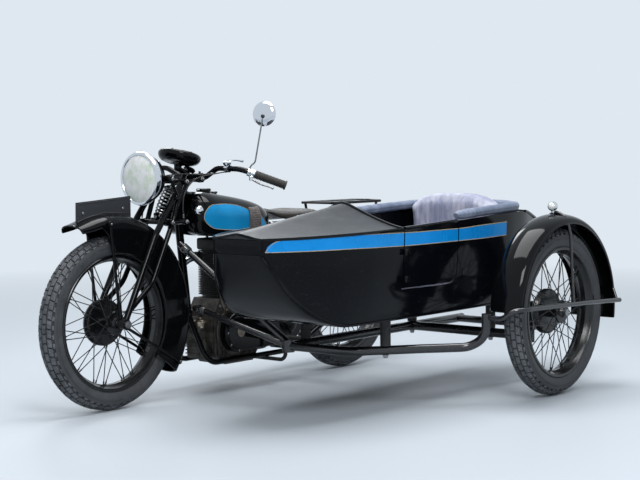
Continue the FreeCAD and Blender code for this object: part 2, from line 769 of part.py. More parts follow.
def front_stays():
    shapes = []
    crown_edge = s.front_guard_radius - s.front_guard_rise - 4
    stay_y = s.fork_axle_y - eye_half - s.guard_stay_radius
    for side in (1, -1):
        y = side * (s.front_guard_half_width + s.guard_stay_radius + s.seat_clearance)
        for degrees in (84, 211):
            hub_end = Vector(s.wheelbase, side * stay_y, s.wheel_radius)
            shapes.append(rod(hub_end, on_guard(degrees, crown_edge, y), s.guard_stay_radius))
        shapes.append(Part.makeCylinder(16, 5, Vector(s.wheelbase, side * stay_y - 2.5, s.wheel_radius),
                                        Vector(0, 1, 0)))
    bore = Part.makeCylinder(s.axle_nut_radius + 0.3, 400, Vector(s.wheelbase, -200, s.wheel_radius), Vector(0, 1, 0))
    left_group = one([x for x in shapes if x.BoundBox.YMin > 0]).cut(bore)
    return Part.makeCompound([left_group, left_group.mirror(Vector(0, 0, 0), Vector(0, 1, 0))])


feature("front_mudguard_stays", front_stays())


# The plate stands on the crown's arc and is square above it
def crown_plate_on_guard(radius, rear, front, half_thickness):
    arc = Part.Arc(on_guard(rear[0], radius, -half_thickness), on_guard((rear[0] + front[0]) / 2, radius, -half_thickness),
                   on_guard(front[0], radius, -half_thickness)).toShape()
    ends = [arc.Vertexes[-1].Point, Vector(front[1], -half_thickness, front[2]),
            Vector(rear[1], -half_thickness, rear[2]), arc.Vertexes[0].Point]
    return Part.Face(Part.Wire([arc, Part.makePolygon(ends)])).extrude(Vector(0, 2 * half_thickness, 0))


feature("front_plate", crown_plate_on_guard(s.front_guard_radius + s.seat_clearance, (108.2, 1290, 806),
                                            (68.4, 1561, 789), 3))


# Motorcycle frame
def frame(grow=0):
    tube, cradle = s.frame_tube_radius + grow, s.cradle_tube_radius + grow
    seat_lug = Vector(s.seat_lug_x, 0, s.seat_lug_z)
    foot = Vector(s.down_tube_foot_x, 0, s.down_tube_foot_z)
    seat_foot = Vector(s.seat_tube_foot_x, 0, s.cradle_z)
    upper = Vector(*on_axis(half_head * 0.4))
    lower = Vector(*on_axis(-half_head * 0.2))
    shapes = [rod(on_axis(-half_head), on_axis(half_head), s.head_radius + grow), rod(upper, seat_lug, tube + 2),
              rod(lower, foot, tube + 2), rod(seat_lug, seat_foot, tube + 2), ball(seat_lug, tube + 6),
              ball(foot, tube + 6)]
    y = s.cradle_y
    for side in (1, -1):
        cradle_route = [foot, Vector(s.down_tube_foot_x - 22, side * y, s.cradle_z),
                        Vector(430, side * y, s.cradle_z), Vector(290, side * (y + 8), 205),
                        Vector(0, side * s.rear_lug_y, s.wheel_radius)]
        shapes.append(bent(cradle_route, cradle, 60))
        stay_route = [seat_lug, Vector(400, side * (y - 2), 587), Vector(0, side * s.rear_lug_y, s.wheel_radius)]
        shapes.append(bent(stay_route, cradle - 1, 40))
        lug_low = side * s.rear_lug_y - s.rear_lug_thickness / 2
        shapes.append(Part.makeCylinder(s.rear_lug_radius + grow, s.rear_lug_thickness,
                                        Vector(0, lug_low, s.wheel_radius), Vector(0, 1, 0)))
        spring_foot = Vector(340, side * y, 548)
        shapes.append(rod(spring_foot, spring_foot + Vector(0, 0, 26), 14 + grow))
    shapes.append(rod((s.seat_tube_foot_x, -y, s.cradle_z), (s.seat_tube_foot_x, y, s.cradle_z), cradle))
    reach = s.rear_guard_radius + 9
    turn = math.radians(33)
    bridge = (math.cos(turn) * reach, math.sin(turn) * reach + s.wheel_radius)
    shapes.append(rod((bridge[0], -y - 2, bridge[1]), (bridge[0], y + 2, bridge[1]), 8.5))
    whole = one(shapes)
    whole = whole.cut(rod(on_axis(-half_head - 40), on_axis(half_head + 40), s.stem_radius + s.axle_clearance))
    return whole.cut(Part.makeCylinder(s.axle_radius + 0.3, 400, Vector(0, -200, s.wheel_radius), Vector(0, 1, 0)))


feature("bike_frame", frame())
lug_half = s.rear_lug_thickness / 2 + s.seat_clearance
lug_out, lug_in = s.rear_lug_y + lug_half, s.rear_lug_y - lug_half
axle("rear_axle", 0 * s.track, 0 * s.track, -lug_out - 12, lug_out + 12, 1, s.chain_y + 2,
     [(lug_out, lug_out + 10), (-lug_out - 10, -lug_out),
      (s.chain_y + 11, lug_in), (-lug_in, -s.hub_flange_y - 18)])


# Engine, gearbox and transmission
def engine():
    rear, front, low, top = s.crankcase_rear, s.crankcase_front, s.crankcase_bottom, s.crankcase_top
    corners = [(rear, low + 40), (rear + 30, low), (front - 90, low), (front - 20, low + 60), (front, low + 120),
               (front - 12, top - 80), (front - 60, top), (rear + 20, top), (rear, top - 40)]
    case = plate("crankcase_block", corners, s.crankcase_half_width * 2)
    timing = turned("timing_cover", [(0 * rear, 0 * rear), (0 * rear, s.crank_case_radius),
                                     (26 + 0 * rear, s.crank_case_radius), (34 + 0 * rear, s.crank_case_radius - 12),
                                     (34 + 0 * rear, 0 * rear)])
    timing.Placement = Placement(Vector(), Rotation(Vector(0, 0, 1), 180))
    moved(timing, s.crank_x, -s.crankcase_half_width + 0.5, s.crank_z + 10)
    lugs = document.addObject("Part::Feature", "engine_lugs")
    front_lug = block((front - 30, -12, s.down_tube_foot_z - 14), (s.down_tube_foot_x, 12, s.down_tube_foot_z + 10))
    low_lug = block((s.crank_x - 40, -s.cradle_y, s.cradle_z - 6), (s.crank_x, s.cradle_y, s.cradle_z + 8))
    lugs.Shape = one([front_lug, low_lug]).cut(frame(s.seat_clearance))
    return fused("engine_crankcase", [case, timing, lugs])


finish(engine(), "engine_crankcase")


def finned_cylinder():
    body = document.addObject("PartDesign::Body", "engine_cylinder")
    w, r = s.fin_half_width, s.barrel_radius
    core = sketch(body, "XY_Plane", [(-r, -r * 0.6), (-r * 0.6, -r), (r * 0.6, -r), (r, -r * 0.6), (r, r * 0.6),
                                     (r * 0.6, r), (-r * 0.6, r), (-r, r * 0.6)], "core_outline")
    barrel = body.newObject("PartDesign::Pad", "barrel")
    barrel.Profile = core
    bind(barrel, "Length", s.engine_height)
    c = w * 0.25
    outline = sketch(body, "XY_Plane", [(-w, -w + c), (-w + c, -w), (w - c, -w), (w, -w + c), (w, w - c),
                                        (w - c, w), (-w + c, w), (-w, w - c)], "fin_outline")
    outline.AttachmentOffset = Placement(Vector(0, 0, 12), Rotation())
    fin = body.newObject("PartDesign::Pad", "fin")
    fin.Profile = outline
    bind(fin, "Length", s.fin_thickness)
    pattern = body.newObject("PartDesign::LinearPattern", "fins")
    pattern.Originals = [fin]
    pattern.Direction = (core, ["N_Axis"])
    bind(pattern, "Length", s.fin_pitch * (s.fin_count - 1))
    pattern.Occurrences = int(s.fin_count)
    body.Tip = pattern
    return body


cylinder_x = s.crank_x
finish(finned_cylinder(), "engine_cylinder", cylinder_x, 0 * s.track, s.crankcase_top + s.seat_clearance)

case_left = s.chaincase_y
gearbox_lug = block((s.gearbox_x - 100, -14, 240), (s.gearbox_x - 40, 14, 268))
feature("gearbox", one([
    gearbox_lug, block((s.gearbox_x - 48, -78, 175), (s.gearbox_x + 82, 36, 352)),
    Part.makeCylinder(62, 18, Vector(s.gearbox_x, -78, s.gearbox_z), Vector(0, -1, 0)),
    Part.makeCylinder(s.sprocket_radius, 6, Vector(s.gearbox_x, s.chain_y - 3, s.gearbox_z), Vector(0, 1, 0)),
    Part.makeCylinder(16, s.chaincase_y - 36, Vector(s.gearbox_x, 36, s.gearbox_z), Vector(0, 1, 0))
]).cut(frame(s.seat_clearance)))


def hull_of_two(x0, z0, r0, x1, z1, r1, y, thickness):
    span = math.hypot(x1 - x0, z1 - z0)
    lean = math.atan2(z1 - z0, x1 - x0)
    tilt = math.acos((r0 - r1) / span)
    edges = []
    spots = {}
    for key, cx, cz, r in (("a", x0, z0, r0), ("b", x1, z1, r1)):
        for sign in (1, -1):
            angle = lean + sign * tilt
            spots[key, sign] = Vector(cx + math.cos(angle) * r, y, cz + math.sin(angle) * r)
    far_a = Vector(x0 - math.cos(lean) * r0, y, z0 - math.sin(lean) * r0)
    far_b = Vector(x1 + math.cos(lean) * r1, y, z1 + math.sin(lean) * r1)
    edges.append(Part.Arc(spots["a", 1], far_a, spots["a", -1]).toShape())
    edges.append(Part.LineSegment(spots["a", -1], spots["b", -1]).toShape())
    edges.append(Part.Arc(spots["b", -1], far_b, spots["b", 1]).toShape())
    edges.append(Part.LineSegment(spots["b", 1], spots["a", 1]).toShape())
    return Part.Face(Part.Wire(edges)).extrude(Vector(0, thickness, 0))


case = hull_of_two(s.gearbox_x, s.gearbox_z, s.clutch_case_radius, s.crank_x, s.crank_z, s.crank_case_radius,
                   case_left + s.seat_clearance, s.chaincase_thickness)
outer_edges = [e for e in case.Edges if e.BoundBox.YMin > case_left + s.chaincase_thickness - 1]
feature("primary_chaincase", case.makeFillet(14, outer_edges))

chain_low = s.chain_y - s.chain_width / 2
chain_out = hull_of_two(0, s.wheel_radius, s.rear_sprocket_radius + 1 + s.chain_thickness, s.gearbox_x, s.gearbox_z,
                        s.sprocket_radius + s.seat_clearance + s.chain_thickness, chain_low, s.chain_width)
chain_in = hull_of_two(0, s.wheel_radius, s.rear_sprocket_radius + 1, s.gearbox_x, s.gearbox_z,
                       s.sprocket_radius + s.seat_clearance, chain_low - 1, s.chain_width + 2)
feature("drive_chain", chain_out.cut(chain_in))

feature("dynamo", one([
    Part.makeCylinder(35, 140, Vector(690, -70, s.crankcase_top + 35.3), Vector(0, 1, 0)),
    Part.makeCylinder(20, 8, Vector(690, -78, s.crankcase_top + 35.3), Vector(0, 1, 0))]))
fin_rear = s.crank_x - s.fin_half_width
feature("carburettor", one([
    Part.makeCylinder(18, 66, Vector(fin_rear - 66 - s.seat_clearance, -20, 545), Vector(1, 0, 0)),
    Part.makeCylinder(22, 66, Vector(fin_rear - 34, -20, 516), Vector(0, 0, 1)),
    Part.makeCylinder(19, 50, Vector(fin_rear - 34, -56, 500), Vector(0, 0, 1)),
    Part.makeBox(14, 40, 12, Vector(fin_rear - 41, -56, 505))]))


def exhaust():
    pipe = bent([(s.crank_x + s.fin_half_width + s.seat_clearance, -40, 548), (945, -40, 548),
                 (995, -122, 430), (958, -132, 250), (840, -138, 182), (620, -146, 190), (400, -s.silencer_y + 6, s.silencer_z - 6),
                 (300, -s.silencer_y, s.silencer_z)], s.exhaust_radius, 80)
    y, z = -s.silencer_y, s.silencer_z
    drum = Part.makeCylinder(s.silencer_radius, 420, Vector(-250, y, z), Vector(1, 0, 0))
    nose = Part.makeCone(s.silencer_radius, s.exhaust_radius + 2, 80, Vector(170, y, z), Vector(1, 0, 0))
    tail = Part.makeCone(s.silencer_radius, 18, 50, Vector(-250, y, z), Vector(-1, 0, 0))
    tip = Part.makeCylinder(18, 60, Vector(-350, y, z), Vector(1, 0, 0))
    link = rod((250, y, z), (310, y, z), s.exhaust_radius + 2)
    bracket = Part.makeBox(10, 60, 60, Vector(-5, y + 10, z + 25))
    bracket = Part.makeBox(24, 5, 100, Vector(-12, -s.rear_lug_y - 26, z + 2))
    arm = Part.makeBox(24, 40, 5, Vector(-12, -s.silencer_y + 12, z + 2))
    return one([pipe, drum, nose, tail, tip, link, arm])


feature("exhaust_system", exhaust())


# Tank, seats and what hangs on the motorcycle
def tank():
    stations = [(536, 34, 655, 694), (580, 78, 640, 736), (640, 104, s.tank_bottom, 760),
                (740, 119, s.tank_bottom, 782), (850, s.tank_half_width, s.tank_bottom, 800),
                (935, 118, s.tank_bottom + 4, s.tank_top), (985, 104, 645, 806), (1010, 84, 658, 790)]
    sections = []
    for x, half, bottom, top in stations:
        rounding = min(half * 0.8, (top - bottom) * 0.55)
        sections.append(section(x, 0, half, bottom, top, rounding, min(16, (top - bottom) * 0.2)))
    solid = loft(sections)
    upper = Vector(*on_axis(half_head * 0.4))
    lug = Vector(s.seat_lug_x, 0, s.seat_lug_z)
    gap = s.frame_tube_radius + 8
    way = (upper - lug).normalize()
    start, end = lug - way * 60, upper + way * 60
    up = Vector(0, 0, gap)
    w = s.tank_tunnel_half_width
    ring = Part.makePolygon([start + up + Vector(0, w, 0), start + up - Vector(0, w, 0),
                             start - Vector(0, w, 220), start + Vector(0, w, -220), start + up + Vector(0, w, 0)])
    tunnel = Part.Face(ring).extrude(end - start)
    head_room = rod(on_axis(-160), on_axis(200), s.head_radius + 34)
    solid = solid.cut(tunnel).cut(head_room)
    lugs = []
    for x in (900, 640):
        height = lug.z + (x - lug.x) * way.z / way.x
        lugs.append(block((x - 12, -w - 6, height - 8), (x + 12, w + 6, height + 8)))
    return one([solid] + lugs).cut(frame(s.seat_clearance))


tank_solid = tank()
feature("fuel_tank", tank_solid)
grip_block = Part.makeBox(78, 400, 92, Vector(668, -200, 655))
grip_shell = []
for side in (1, -1):
    pad = Part.makeBox(78, 24, 92, Vector(668, side * 116 - 12, 655))
    grip_shell.append(pad.makeFillet(8, [e for e in pad.Edges if abs(e.BoundBox.YLength) > 20]).cut(tank_solid.scaled(1.0)))
feature("knee_grips", Part.makeCompound(grip_shell))


def saddle():
    top, t, w = s.saddle_top, s.saddle_thickness, s.saddle_half_width
    rear, front = s.saddle_rear_x, s.saddle_front_x
    stations = [(rear, w * 0.75, top - t, top - 8), (rear + 45, w, top - t - 4, top),
                (rear + 120, w * 0.88, top - t - 4, top - 4), (front - 78, w * 0.5, top - 44, top - 6),
                (front, w * 0.25, top - 10, top + 6)]
    return loft([section(x, 0, half, low, high, (high - low) * 0.42, (high - low) * 0.3)
                 for x, half, low, high in stations])


saddle_solid = saddle()
feature("saddle", saddle_solid)


def saddle_mounts():
    shapes = []
    under = s.saddle_top - s.saddle_thickness - 4 - s.seat_clearance
    for side in (1, -1):
        spot = Vector(340, side * s.cradle_y, 574 + s.seat_clearance)
        shapes.append(Part.makeCylinder(20, under - spot.z, spot))
    return Part.makeCompound(shapes)


feature("saddle_springs", saddle_mounts())
oil = Part.makeBox(126, 88, 160, Vector(445, -124, 405))
oil = oil.makeFillet(16, [e for e in oil.Edges if e.BoundBox.YLength > 40 or e.BoundBox.ZLength > 40])
seat_tube_room = frame(s.seat_clearance)
oil_lugs = [Part.makeBox(24, 34, 16, Vector(x, -38, z)) for x, z in ((452, 520), (448, 430))]
feature("oil_tank", one([oil] + oil_lugs).cut(seat_tube_room))
box_shape = Part.makeBox(126, 80, 150, Vector(445, 36, 400))
box_shape = box_shape.makeFillet(14, [e for e in box_shape.Edges if e.BoundBox.YLength > 40])
box_lugs = [Part.makeBox(24, 34, 16, Vector(x, 5, z)) for x, z in ((452, 515), (446, 425))]
feature("toolbox", one([box_shape] + box_lugs).cut(seat_tube_room))


def carrier():
    z, r = 740, 6
    rails = [bent([(170, side * 84, z), (-190, side * 84, z), (-215, 0, z)], r, 30) for side in (1, -1)]
    slats = [rod((x, -84, z), (x, 84, z), 4.5) for x in (170, 26, -118)]
    for x in (98, -46):
        strap = Part.makeBox(26, 168, 4, Vector(x - 13, -84, z + 1))
        for y in (-60, 60):
            strap = strap.cut(Part.makeCylinder(3.5, 20, Vector(x, y, z - 8)))
        slats.append(strap)
    foot_y = lug_out + 6
    legs = [rod((x, side * 84, z), (foot_x, side * foot_y, s.wheel_radius + 18), 6)
            for side in (1, -1) for x, foot_x in ((150, 21), (-150, -21))]
    return one(rails + slats + legs)


feature("rear_carrier", carrier())
plate_shape = Part.makeBox(5, 170, 120, Vector(-412, -85, 455))
lamp_body = Part.makeCylinder(24, 46, Vector(-398, 0, 610), Vector(-1, 0, 0))
back = Part.makeBox(20, 60, 190, Vector(-407, -30, 450))
arm = Part.makeBox(110, 36, 30, Vector(-395, -18, 465))
arm = arm.cut(Part.makeCylinder(s.rear_guard_radius + s.seat_clearance, 200, Vector(0, -100, s.wheel_radius), Vector(0, 1, 0)))
feature("tail_lamp", one([plate_shape, lamp_body, back, arm]))


def footrests():
    under = s.cradle_z - s.cradle_tube_radius - 8 - s.seat_clearance
    route = [(600, -190, 200), (600, -178, under), (600, 178, under), (600, 190, 200)]
    bar = bent(route, 8, 30)
    pegs = [rod((600, side * 184, 200), (600, side * 272, 204), 13) for side in (1, -1)]
    return one([bar] + pegs)




def foot_controls():
    cover = -96 - s.seat_clearance
    kick = bent([(s.gearbox_x + 6, cover, s.gearbox_z), (s.gearbox_x + 6, -142, s.gearbox_z),
                 (s.gearbox_x + 24, -148, s.gearbox_z + 175), (s.gearbox_x + 24, -210, s.gearbox_z + 185)], 7, 20)
    return one([kick])


feature("footrests", Part.makeCompound([footrests(), foot_controls()]))

# Sidecar body: half-widths, rail heights and chine heights along the length, as on a boat
HALF_WIDTHS = [(-500, 110), (-350, 168), (-200, 215), (-50, 258), (100, 275), (450, 280), (800, 280), (950, 275),
               (1100, 252), (1230, 216), (1330, 172), (1405, 114)]
RAIL = [(-500, 590), (-350, 640), (-200, 690), (-50, 718), (450, 700), (800, 686), (1405, 670)]
BOTTOM = [(-500, 480), (-350, 410), (-200, 368), (-50, 345), (250, 345), (1080, 345), (1178, 367), (1248, 403),
          (1320, 466), (1375, 545), (1405, 628)]
CHINE = [(-500, 90), (-350, 138), (-200, 185), (-50, 228), (100, 248), (450, 255), (950, 252), (1100, 240),
         (1248, 200), (1320, 170), (1375, 146), (1405, 110)]
CREST = [(812, 775), (954, 754), (1125, 730), (1277, 707), (1405, 688)]


def stations_of(low, high):
    marks = sorted({x for x, value in HALF_WIDTHS + BOTTOM if low < x < high} | {low, high})
    kept = [marks[0]]
    for x in marks[1:]:
        if x - kept[-1] > 30 or x == marks[-1]:
            kept.append(x)
    return kept


def hull_section(x, inset, rise=0):
    top = faired(RAIL, x) + rise
    low = min(faired(BOTTOM, x), top - 30) + inset
    half_top = faired(HALF_WIDTHS, x) - inset
    half_low = faired(CHINE, x) - inset
    y = s.body_y
    corners = [(y - half_low + 14, low), (y + half_low - 14, low), (y + half_low, low + 14), (y + half_top, top),
               (y - half_top, top), (y - half_low, low + 14)]
    return Part.makePolygon([Vector(x, a, b) for a, b in corners + corners[:1]])


def hull():
    outer = Part.makeLoft([hull_section(x, 0) for x in stations_of(-500, 1405)], True, True)
    inner = Part.makeLoft([hull_section(x, s.wall, 40) for x in stations_of(-470, 1360)], True, True)
    return outer, inner


hull_outer, hull_inner = hull()
hull_shell = hull_outer.cut(hull_inner)


def door_prism(grow):
    front, rear, low, r = s.door_front + grow, s.door_rear - grow, s.door_bottom - grow, s.door_corner
    y0 = s.body_y + 150
    bend = r * (1 - math.sqrt(0.5))
    p = [Vector(front, y0, 760), Vector(front, y0, low), Vector(rear + r, y0, low), Vector(rear + bend, y0, low + bend),
         Vector(rear, y0, low + r), Vector(rear, y0, 760)]
    edges = [Part.LineSegment(p[0], p[1]).toShape(), Part.LineSegment(p[1], p[2]).toShape(),
             Part.Arc(p[2], p[3], p[4]).toShape(), Part.LineSegment(p[4], p[5]).toShape(),
             Part.LineSegment(p[5], p[0]).toShape()]
    return Part.Face(Part.Wire(edges)).extrude(Vector(0, 300, 0))


hinge = Vector(s.door_front + s.door_gap / 2, s.body_y + s.body_half_width + 7, 0)


# Hinge leaves and knuckles: side is -1 on the door and +1 on the body
def hinge_half(side):
    shapes = []
    for height in (520, 650):
        if side < 0:
            spans = [(height - 11, height + 11)]
        else:
            spans = [(height - 30, height - 11 - s.seat_clearance), (height + 11 + s.seat_clearance, height + 30)]
        for low, high in spans:
            shapes.append(Part.makeCylinder(s.hinge_radius, high - low, Vector(hinge.x, hinge.y, low)))
            x0, x1 = sorted((hinge.x, hinge.x + side * 18))
            shapes.append(block((x0, hinge.y - 6, low), (x1, hinge.y - 2, high)))
            x0, x1 = sorted((hinge.x + side * 9, hinge.x + side * 30))
            shapes.append(block((x0, hinge.y - 26, low), (x1, hinge.y - 2, high)))
    return shapes


feature("sidecar_hull", one([hull_shell.cut(door_prism(0))] + hinge_half(1)).cut(hull_inner))
door = one([hull_shell.common(door_prism(-s.door_gap))] + hinge_half(-1)).cut(hull_inner)


def deck_section(x, crest, lift):
    half = faired(HALF_WIDTHS, x)
    rail = faired(RAIL, x) + s.seat_clearance + lift
    y = s.body_y
    top = crest + lift
    rise = top - rail
    corners = [(y - half, rail), (y - half * 0.55, rail + rise * 0.36), (y, top), (y + half * 0.55, rail + rise * 0.36),
               (y + half, rail)]
    return corners


def deck(stations, crest_of, name):
    upper = []
    lower = []
    for x in stations:
        top = deck_section(x, crest_of(x), s.deck_thickness)
        base = deck_section(x, crest_of(x), 0)
        ring = top + list(reversed(base))
        upper.append(Part.makePolygon([Vector(x, a, b) for a, b in ring + ring[:1]]))
    feature(name, Part.makeLoft(upper, True, True))


deck([s.cockpit_front] + stations_of(840, 1405), lambda x: faired(CREST, x) - s.deck_thickness, "sidecar_deck")
deck(stations_of(-500, float(s.cockpit_rear)), lambda x: faired(RAIL, x) + 20, "sidecar_tail_deck")


# Cockpit roll: a padded rim from the door's rear edge round the back to the scuttle
def roll():
    r = s.roll_radius
    z = lambda x: faired(RAIL, x) + r + s.seat_clearance
    rear, y = s.cockpit_rear + 30, s.body_y
    w = 258
    route = [(s.door_rear - 8, y + w, z(450)), (200, y + w, z(200)), (rear, y + w - 4, z(rear)),
             (rear, y - w + 4, z(rear)), (200, y - w, z(200)), (500, y - w, z(500)), (790, y - w, z(790))]
    return bent(route, r, 45)


feature("cockpit_roll", roll())


# Seat inside the cockpit, and the cushion that leans on the rear
floor = s.body_bottom + s.wall + s.seat_clearance
cushion = Part.makeBox(360, 470, 125, Vector(120, s.body_y - 235, floor))
feature("sidecar_seat", cushion.makeFillet(26, cushion.Edges))
back_half, foot_half, back_top = 232, 212, 812
back_outline = [(-foot_half, floor), (foot_half, floor), (back_half, 600), (back_half, back_top), (-back_half, back_top),
                (-back_half, 600), (-foot_half, floor)]
back_rest = Part.Face(Part.makePolygon([Vector(0, s.body_y + y, z) for y, z in back_outline])).extrude(Vector(100, 0, 0))
back_rest = back_rest.makeFillet(34, back_rest.Edges)
feature("sidecar_backrest", back_rest)

# Door handle and hinges
handle_at = Vector(s.door_rear + 34, s.body_y + 277, 640)
feature("door_panel", one([
    door, Part.makeCylinder(9, 26, handle_at - Vector(0, 4, 0), Vector(0, 1, 0)),
    rod(handle_at + Vector(0, 20, 0), handle_at + Vector(62, 24, 0), 5)]))


# Sidecar chassis
def chassis():
    r, z, y = s.chassis_radius, s.chassis_z, s.chassis_y
    inner = rod((-280, y, z), (905, y, z), r)
    cross = bent([(905, y, z), (890, 750, z), (660, 920, z), (520, 1040, z), (502, 1098, z + 45), (502, 1098, z + 130)],
                 r - 2, 90)
    rear = rod((96, y, z), (96, s.upright_y, z), r)
    tail = rod((-240, y, z), (-240, 900, z), r - 3)
    upright = rod((96, s.upright_y, z), (96, s.upright_y, s.wheel_radius + 34), r + 3)
    corners = [rod((905, y, z - r - 4), (905, y, z + r + 4), r + 5),
               rod((96, s.upright_y, z - r - 6), (96, s.upright_y, z + r + 6), r + 6)]
    side_rail = rod((-240, 900, z), (96, 900, z), r - 4)
    stays = [rod((970, 22, 352), (905, y, z), s.stay_radius), rod((415, 94, 138), (415, y, z), s.stay_radius),
             rod((385, 92, 566), (250, y, z), s.stay_radius), rod((1046, 18, 612), (890, y, z), s.stay_radius)]
    guard_edge = s.track - s.side_guard_half_width
    guard_stay = bent([(96, s.upright_y, 352), (96, s.upright_y + 10, 480), (96, guard_edge - 7.3, 648)], 7, 60)
    whole = one([inner, cross, rear, tail, upright, side_rail, guard_stay] + corners + stays)
    bore = rod((96, s.upright_y - 60, s.wheel_radius), (96, s.upright_y + 60, s.wheel_radius), s.axle_radius + 0.3)
    return whole.cut(bore).cut(frame(s.seat_clearance))


feature("sidecar_chassis", chassis())
mount_top = s.body_bottom - s.seat_clearance
mounts = []
for x, y, tube in ((800, s.chassis_y, s.chassis_radius), (780, 832, s.chassis_radius - 2),
                   (96, s.chassis_y, s.chassis_radius), (96, 855, s.chassis_radius)):
    mounts.append(rod((x, y, s.chassis_z + tube + s.seat_clearance), (x, y, mount_top), 20))
feature("sidecar_mounts", Part.makeCompound(mounts))
post = s.upright_y - s.track
axle("sidecar_axle", s.wheel_lead, s.track, post - 36, s.hub_flange_y + 26, -1, drum_face,
     [(post - 34, post - s.chassis_radius - 3 - s.seat_clearance), (s.hub_flange_y + 17, s.hub_flange_y + 28),
      (post + s.chassis_radius + 3 + s.seat_clearance, -s.hub_flange_y - 20)])


# Mudguard bar outside the sidecar wheel, with the stays that hold the mudguard
def guard_room():
    outer = [(s.side_guard_half_width * a, s.side_guard_radius - s.side_guard_rise * b)
             for a, b in ((0, 0), (0.45, 0.12), (0.8, 0.48), (1, 1))]
    ring = [Vector(0, y, r) for y, r in [(-y, r) for y, r in reversed(outer[1:])] + outer]
    ring += [Vector(0, s.side_guard_half_width, 100), Vector(0, -s.side_guard_half_width, 100), ring[0]]
    solid = Part.Face(Part.makePolygon(ring)).revolve(Vector(0, 0, 0), Vector(0, 1, 0), 360)
    return solid.translated(Vector(s.wheel_lead, s.track, s.wheel_radius))


def outer_bar():
    y = 1250
    bar = bent([(502, 1098 + s.chassis_radius - 2 + s.seat_clearance, 340), (502, 1170, 340),
                (500, 1215, 372), (455, y, 376),
                (0, y, 364), (-262, y, 352)], 9.5, 50)
    edge = s.track + s.side_guard_half_width + 6
    stay = bent([(110, y, 368), (110, y - 8, 470), (110, edge, 640), (108, edge - 20, 704), (106, edge - 50, 721),
                 (104, s.track + 10, 725)], 6, 60)
    rear = rod((-240, y, 353), (-248, edge - 6, 400), 6)
    return one([bar, stay, rear]).cut(guard_room())


feature("mudguard_bar", outer_bar())
lamp_centre = Vector(106, s.track, s.wheel_radius + s.side_guard_radius + 40)
feature("sidecar_lamp", one([
    Part.makeCylinder(19, 42, lamp_centre - Vector(24, 0, 0), Vector(1, 0, 0)),
    ball(lamp_centre - Vector(20, 0, 0), 19),
    rod(lamp_centre, lamp_centre - Vector(0, 0, 39.7), 8)]))

# Every object is sound before anything is written
document.recompute()
failed = [thing.Name for thing in document.Objects if "Invalid" in thing.State or "Error" in thing.State]
if failed:
    raise RuntimeError(f"These objects failed: {failed}")
unsound = [thing.Label for thing in subparts if thing.Shape.isNull() or not thing.Shape.isValid()]
if unsound:
    raise RuntimeError(f"These shapes are not sound: {unsound}")
os.makedirs("parts", exist_ok=True)
for thing in subparts:
    thing.Shape.exportStep(f"parts/{thing.Label}.step")
    box = thing.Shape.BoundBox
    print(f"{thing.Label:24s} solids {len(thing.Shape.Solids):3d}  faces {len(thing.Shape.Faces):4d}  "
          f"x {box.XMin:8.1f} {box.XMax:8.1f}  y {box.YMin:8.1f} {box.YMax:8.1f}  z {box.ZMin:8.1f} {box.ZMax:8.1f}")
print(len(subparts), "sub-parts")
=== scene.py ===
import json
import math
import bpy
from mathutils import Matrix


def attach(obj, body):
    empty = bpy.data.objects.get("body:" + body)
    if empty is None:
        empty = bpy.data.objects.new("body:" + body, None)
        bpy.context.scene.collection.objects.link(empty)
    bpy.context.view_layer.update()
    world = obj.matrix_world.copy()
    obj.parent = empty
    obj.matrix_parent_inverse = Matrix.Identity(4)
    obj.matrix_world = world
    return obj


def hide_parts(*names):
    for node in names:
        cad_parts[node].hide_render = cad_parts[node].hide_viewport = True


bl_info = {
    "name": "Sidecar outfit",
    "version": (1, 0, 0),
    "blender": (4, 5, 0),
    "location": "3D View > Sidebar > Outfit",
    "description": "Dresses the frame of a motorcycle and sidecar with its finished pieces",
    "category": "Object",
}

import bmesh
import bpy
from bpy.props import FloatProperty, FloatVectorProperty, IntProperty, PointerProperty
from mathutils import Matrix, Quaternion, Vector

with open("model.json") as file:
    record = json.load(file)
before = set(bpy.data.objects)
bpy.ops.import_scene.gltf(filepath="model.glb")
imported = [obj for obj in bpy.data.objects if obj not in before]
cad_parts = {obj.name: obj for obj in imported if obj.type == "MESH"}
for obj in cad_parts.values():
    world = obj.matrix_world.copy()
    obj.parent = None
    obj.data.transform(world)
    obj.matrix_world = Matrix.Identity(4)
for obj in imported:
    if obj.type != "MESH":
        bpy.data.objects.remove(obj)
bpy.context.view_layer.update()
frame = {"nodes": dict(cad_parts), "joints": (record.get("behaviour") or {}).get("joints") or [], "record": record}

# Points of the outfit, in metres: X forward, Y to the left, Z up
JOINTS = {joint["name"]: joint for joint in frame["joints"]}
REAR_AXLE = Vector(JOINTS["rear_wheel_roll"]["pos_m"])
FRONT_AXLE = Vector(JOINTS["front_wheel_roll"]["pos_m"])
SIDE_AXLE = Vector(JOINTS["sidecar_wheel_roll"]["pos_m"])
AXLES = {"front": FRONT_AXLE, "rear": REAR_AXLE, "sidecar": SIDE_AXLE}
ALONG, ACROSS, UP = Vector((1, 0, 0)), Vector((0, 1, 0)), Vector((0, 0, 1))
MM = 0.001


def at(x, y, z):
    """A point measured in millimetres from the rear axle, the motorcycle's centre plane and the floor."""
    return Vector((REAR_AXLE.x + x * MM, REAR_AXLE.y + y * MM, z * MM))


def spun(radius, y, degrees):
    """How far a point lies from an axle along Y, in millimetres out and to the side, at an angle."""
    turn = math.radians(degrees)
    return Vector((math.cos(turn) * radius, y, math.sin(turn) * radius)) * MM


def linear(hex_code):
    """A colour written in sRGB hex, as Blender's linear red, green and blue."""
    parts = [int(hex_code[i:i + 2], 16) / 255 for i in (1, 3, 5)]
    return tuple(c / 12.92 if c <= 0.04045 else ((c + 0.055) / 1.055) ** 2.4 for c in parts)


def rgba(base):
    """A colour, from its parts or its hex code, with full alpha."""
    return (*(linear(base) if isinstance(base, str) else base)[:3], 1.0)


# Sizes and colours that a user would change
def length(name, description, default):
    return FloatProperty(name=name, description=description, default=default, unit="LENGTH", precision=4)


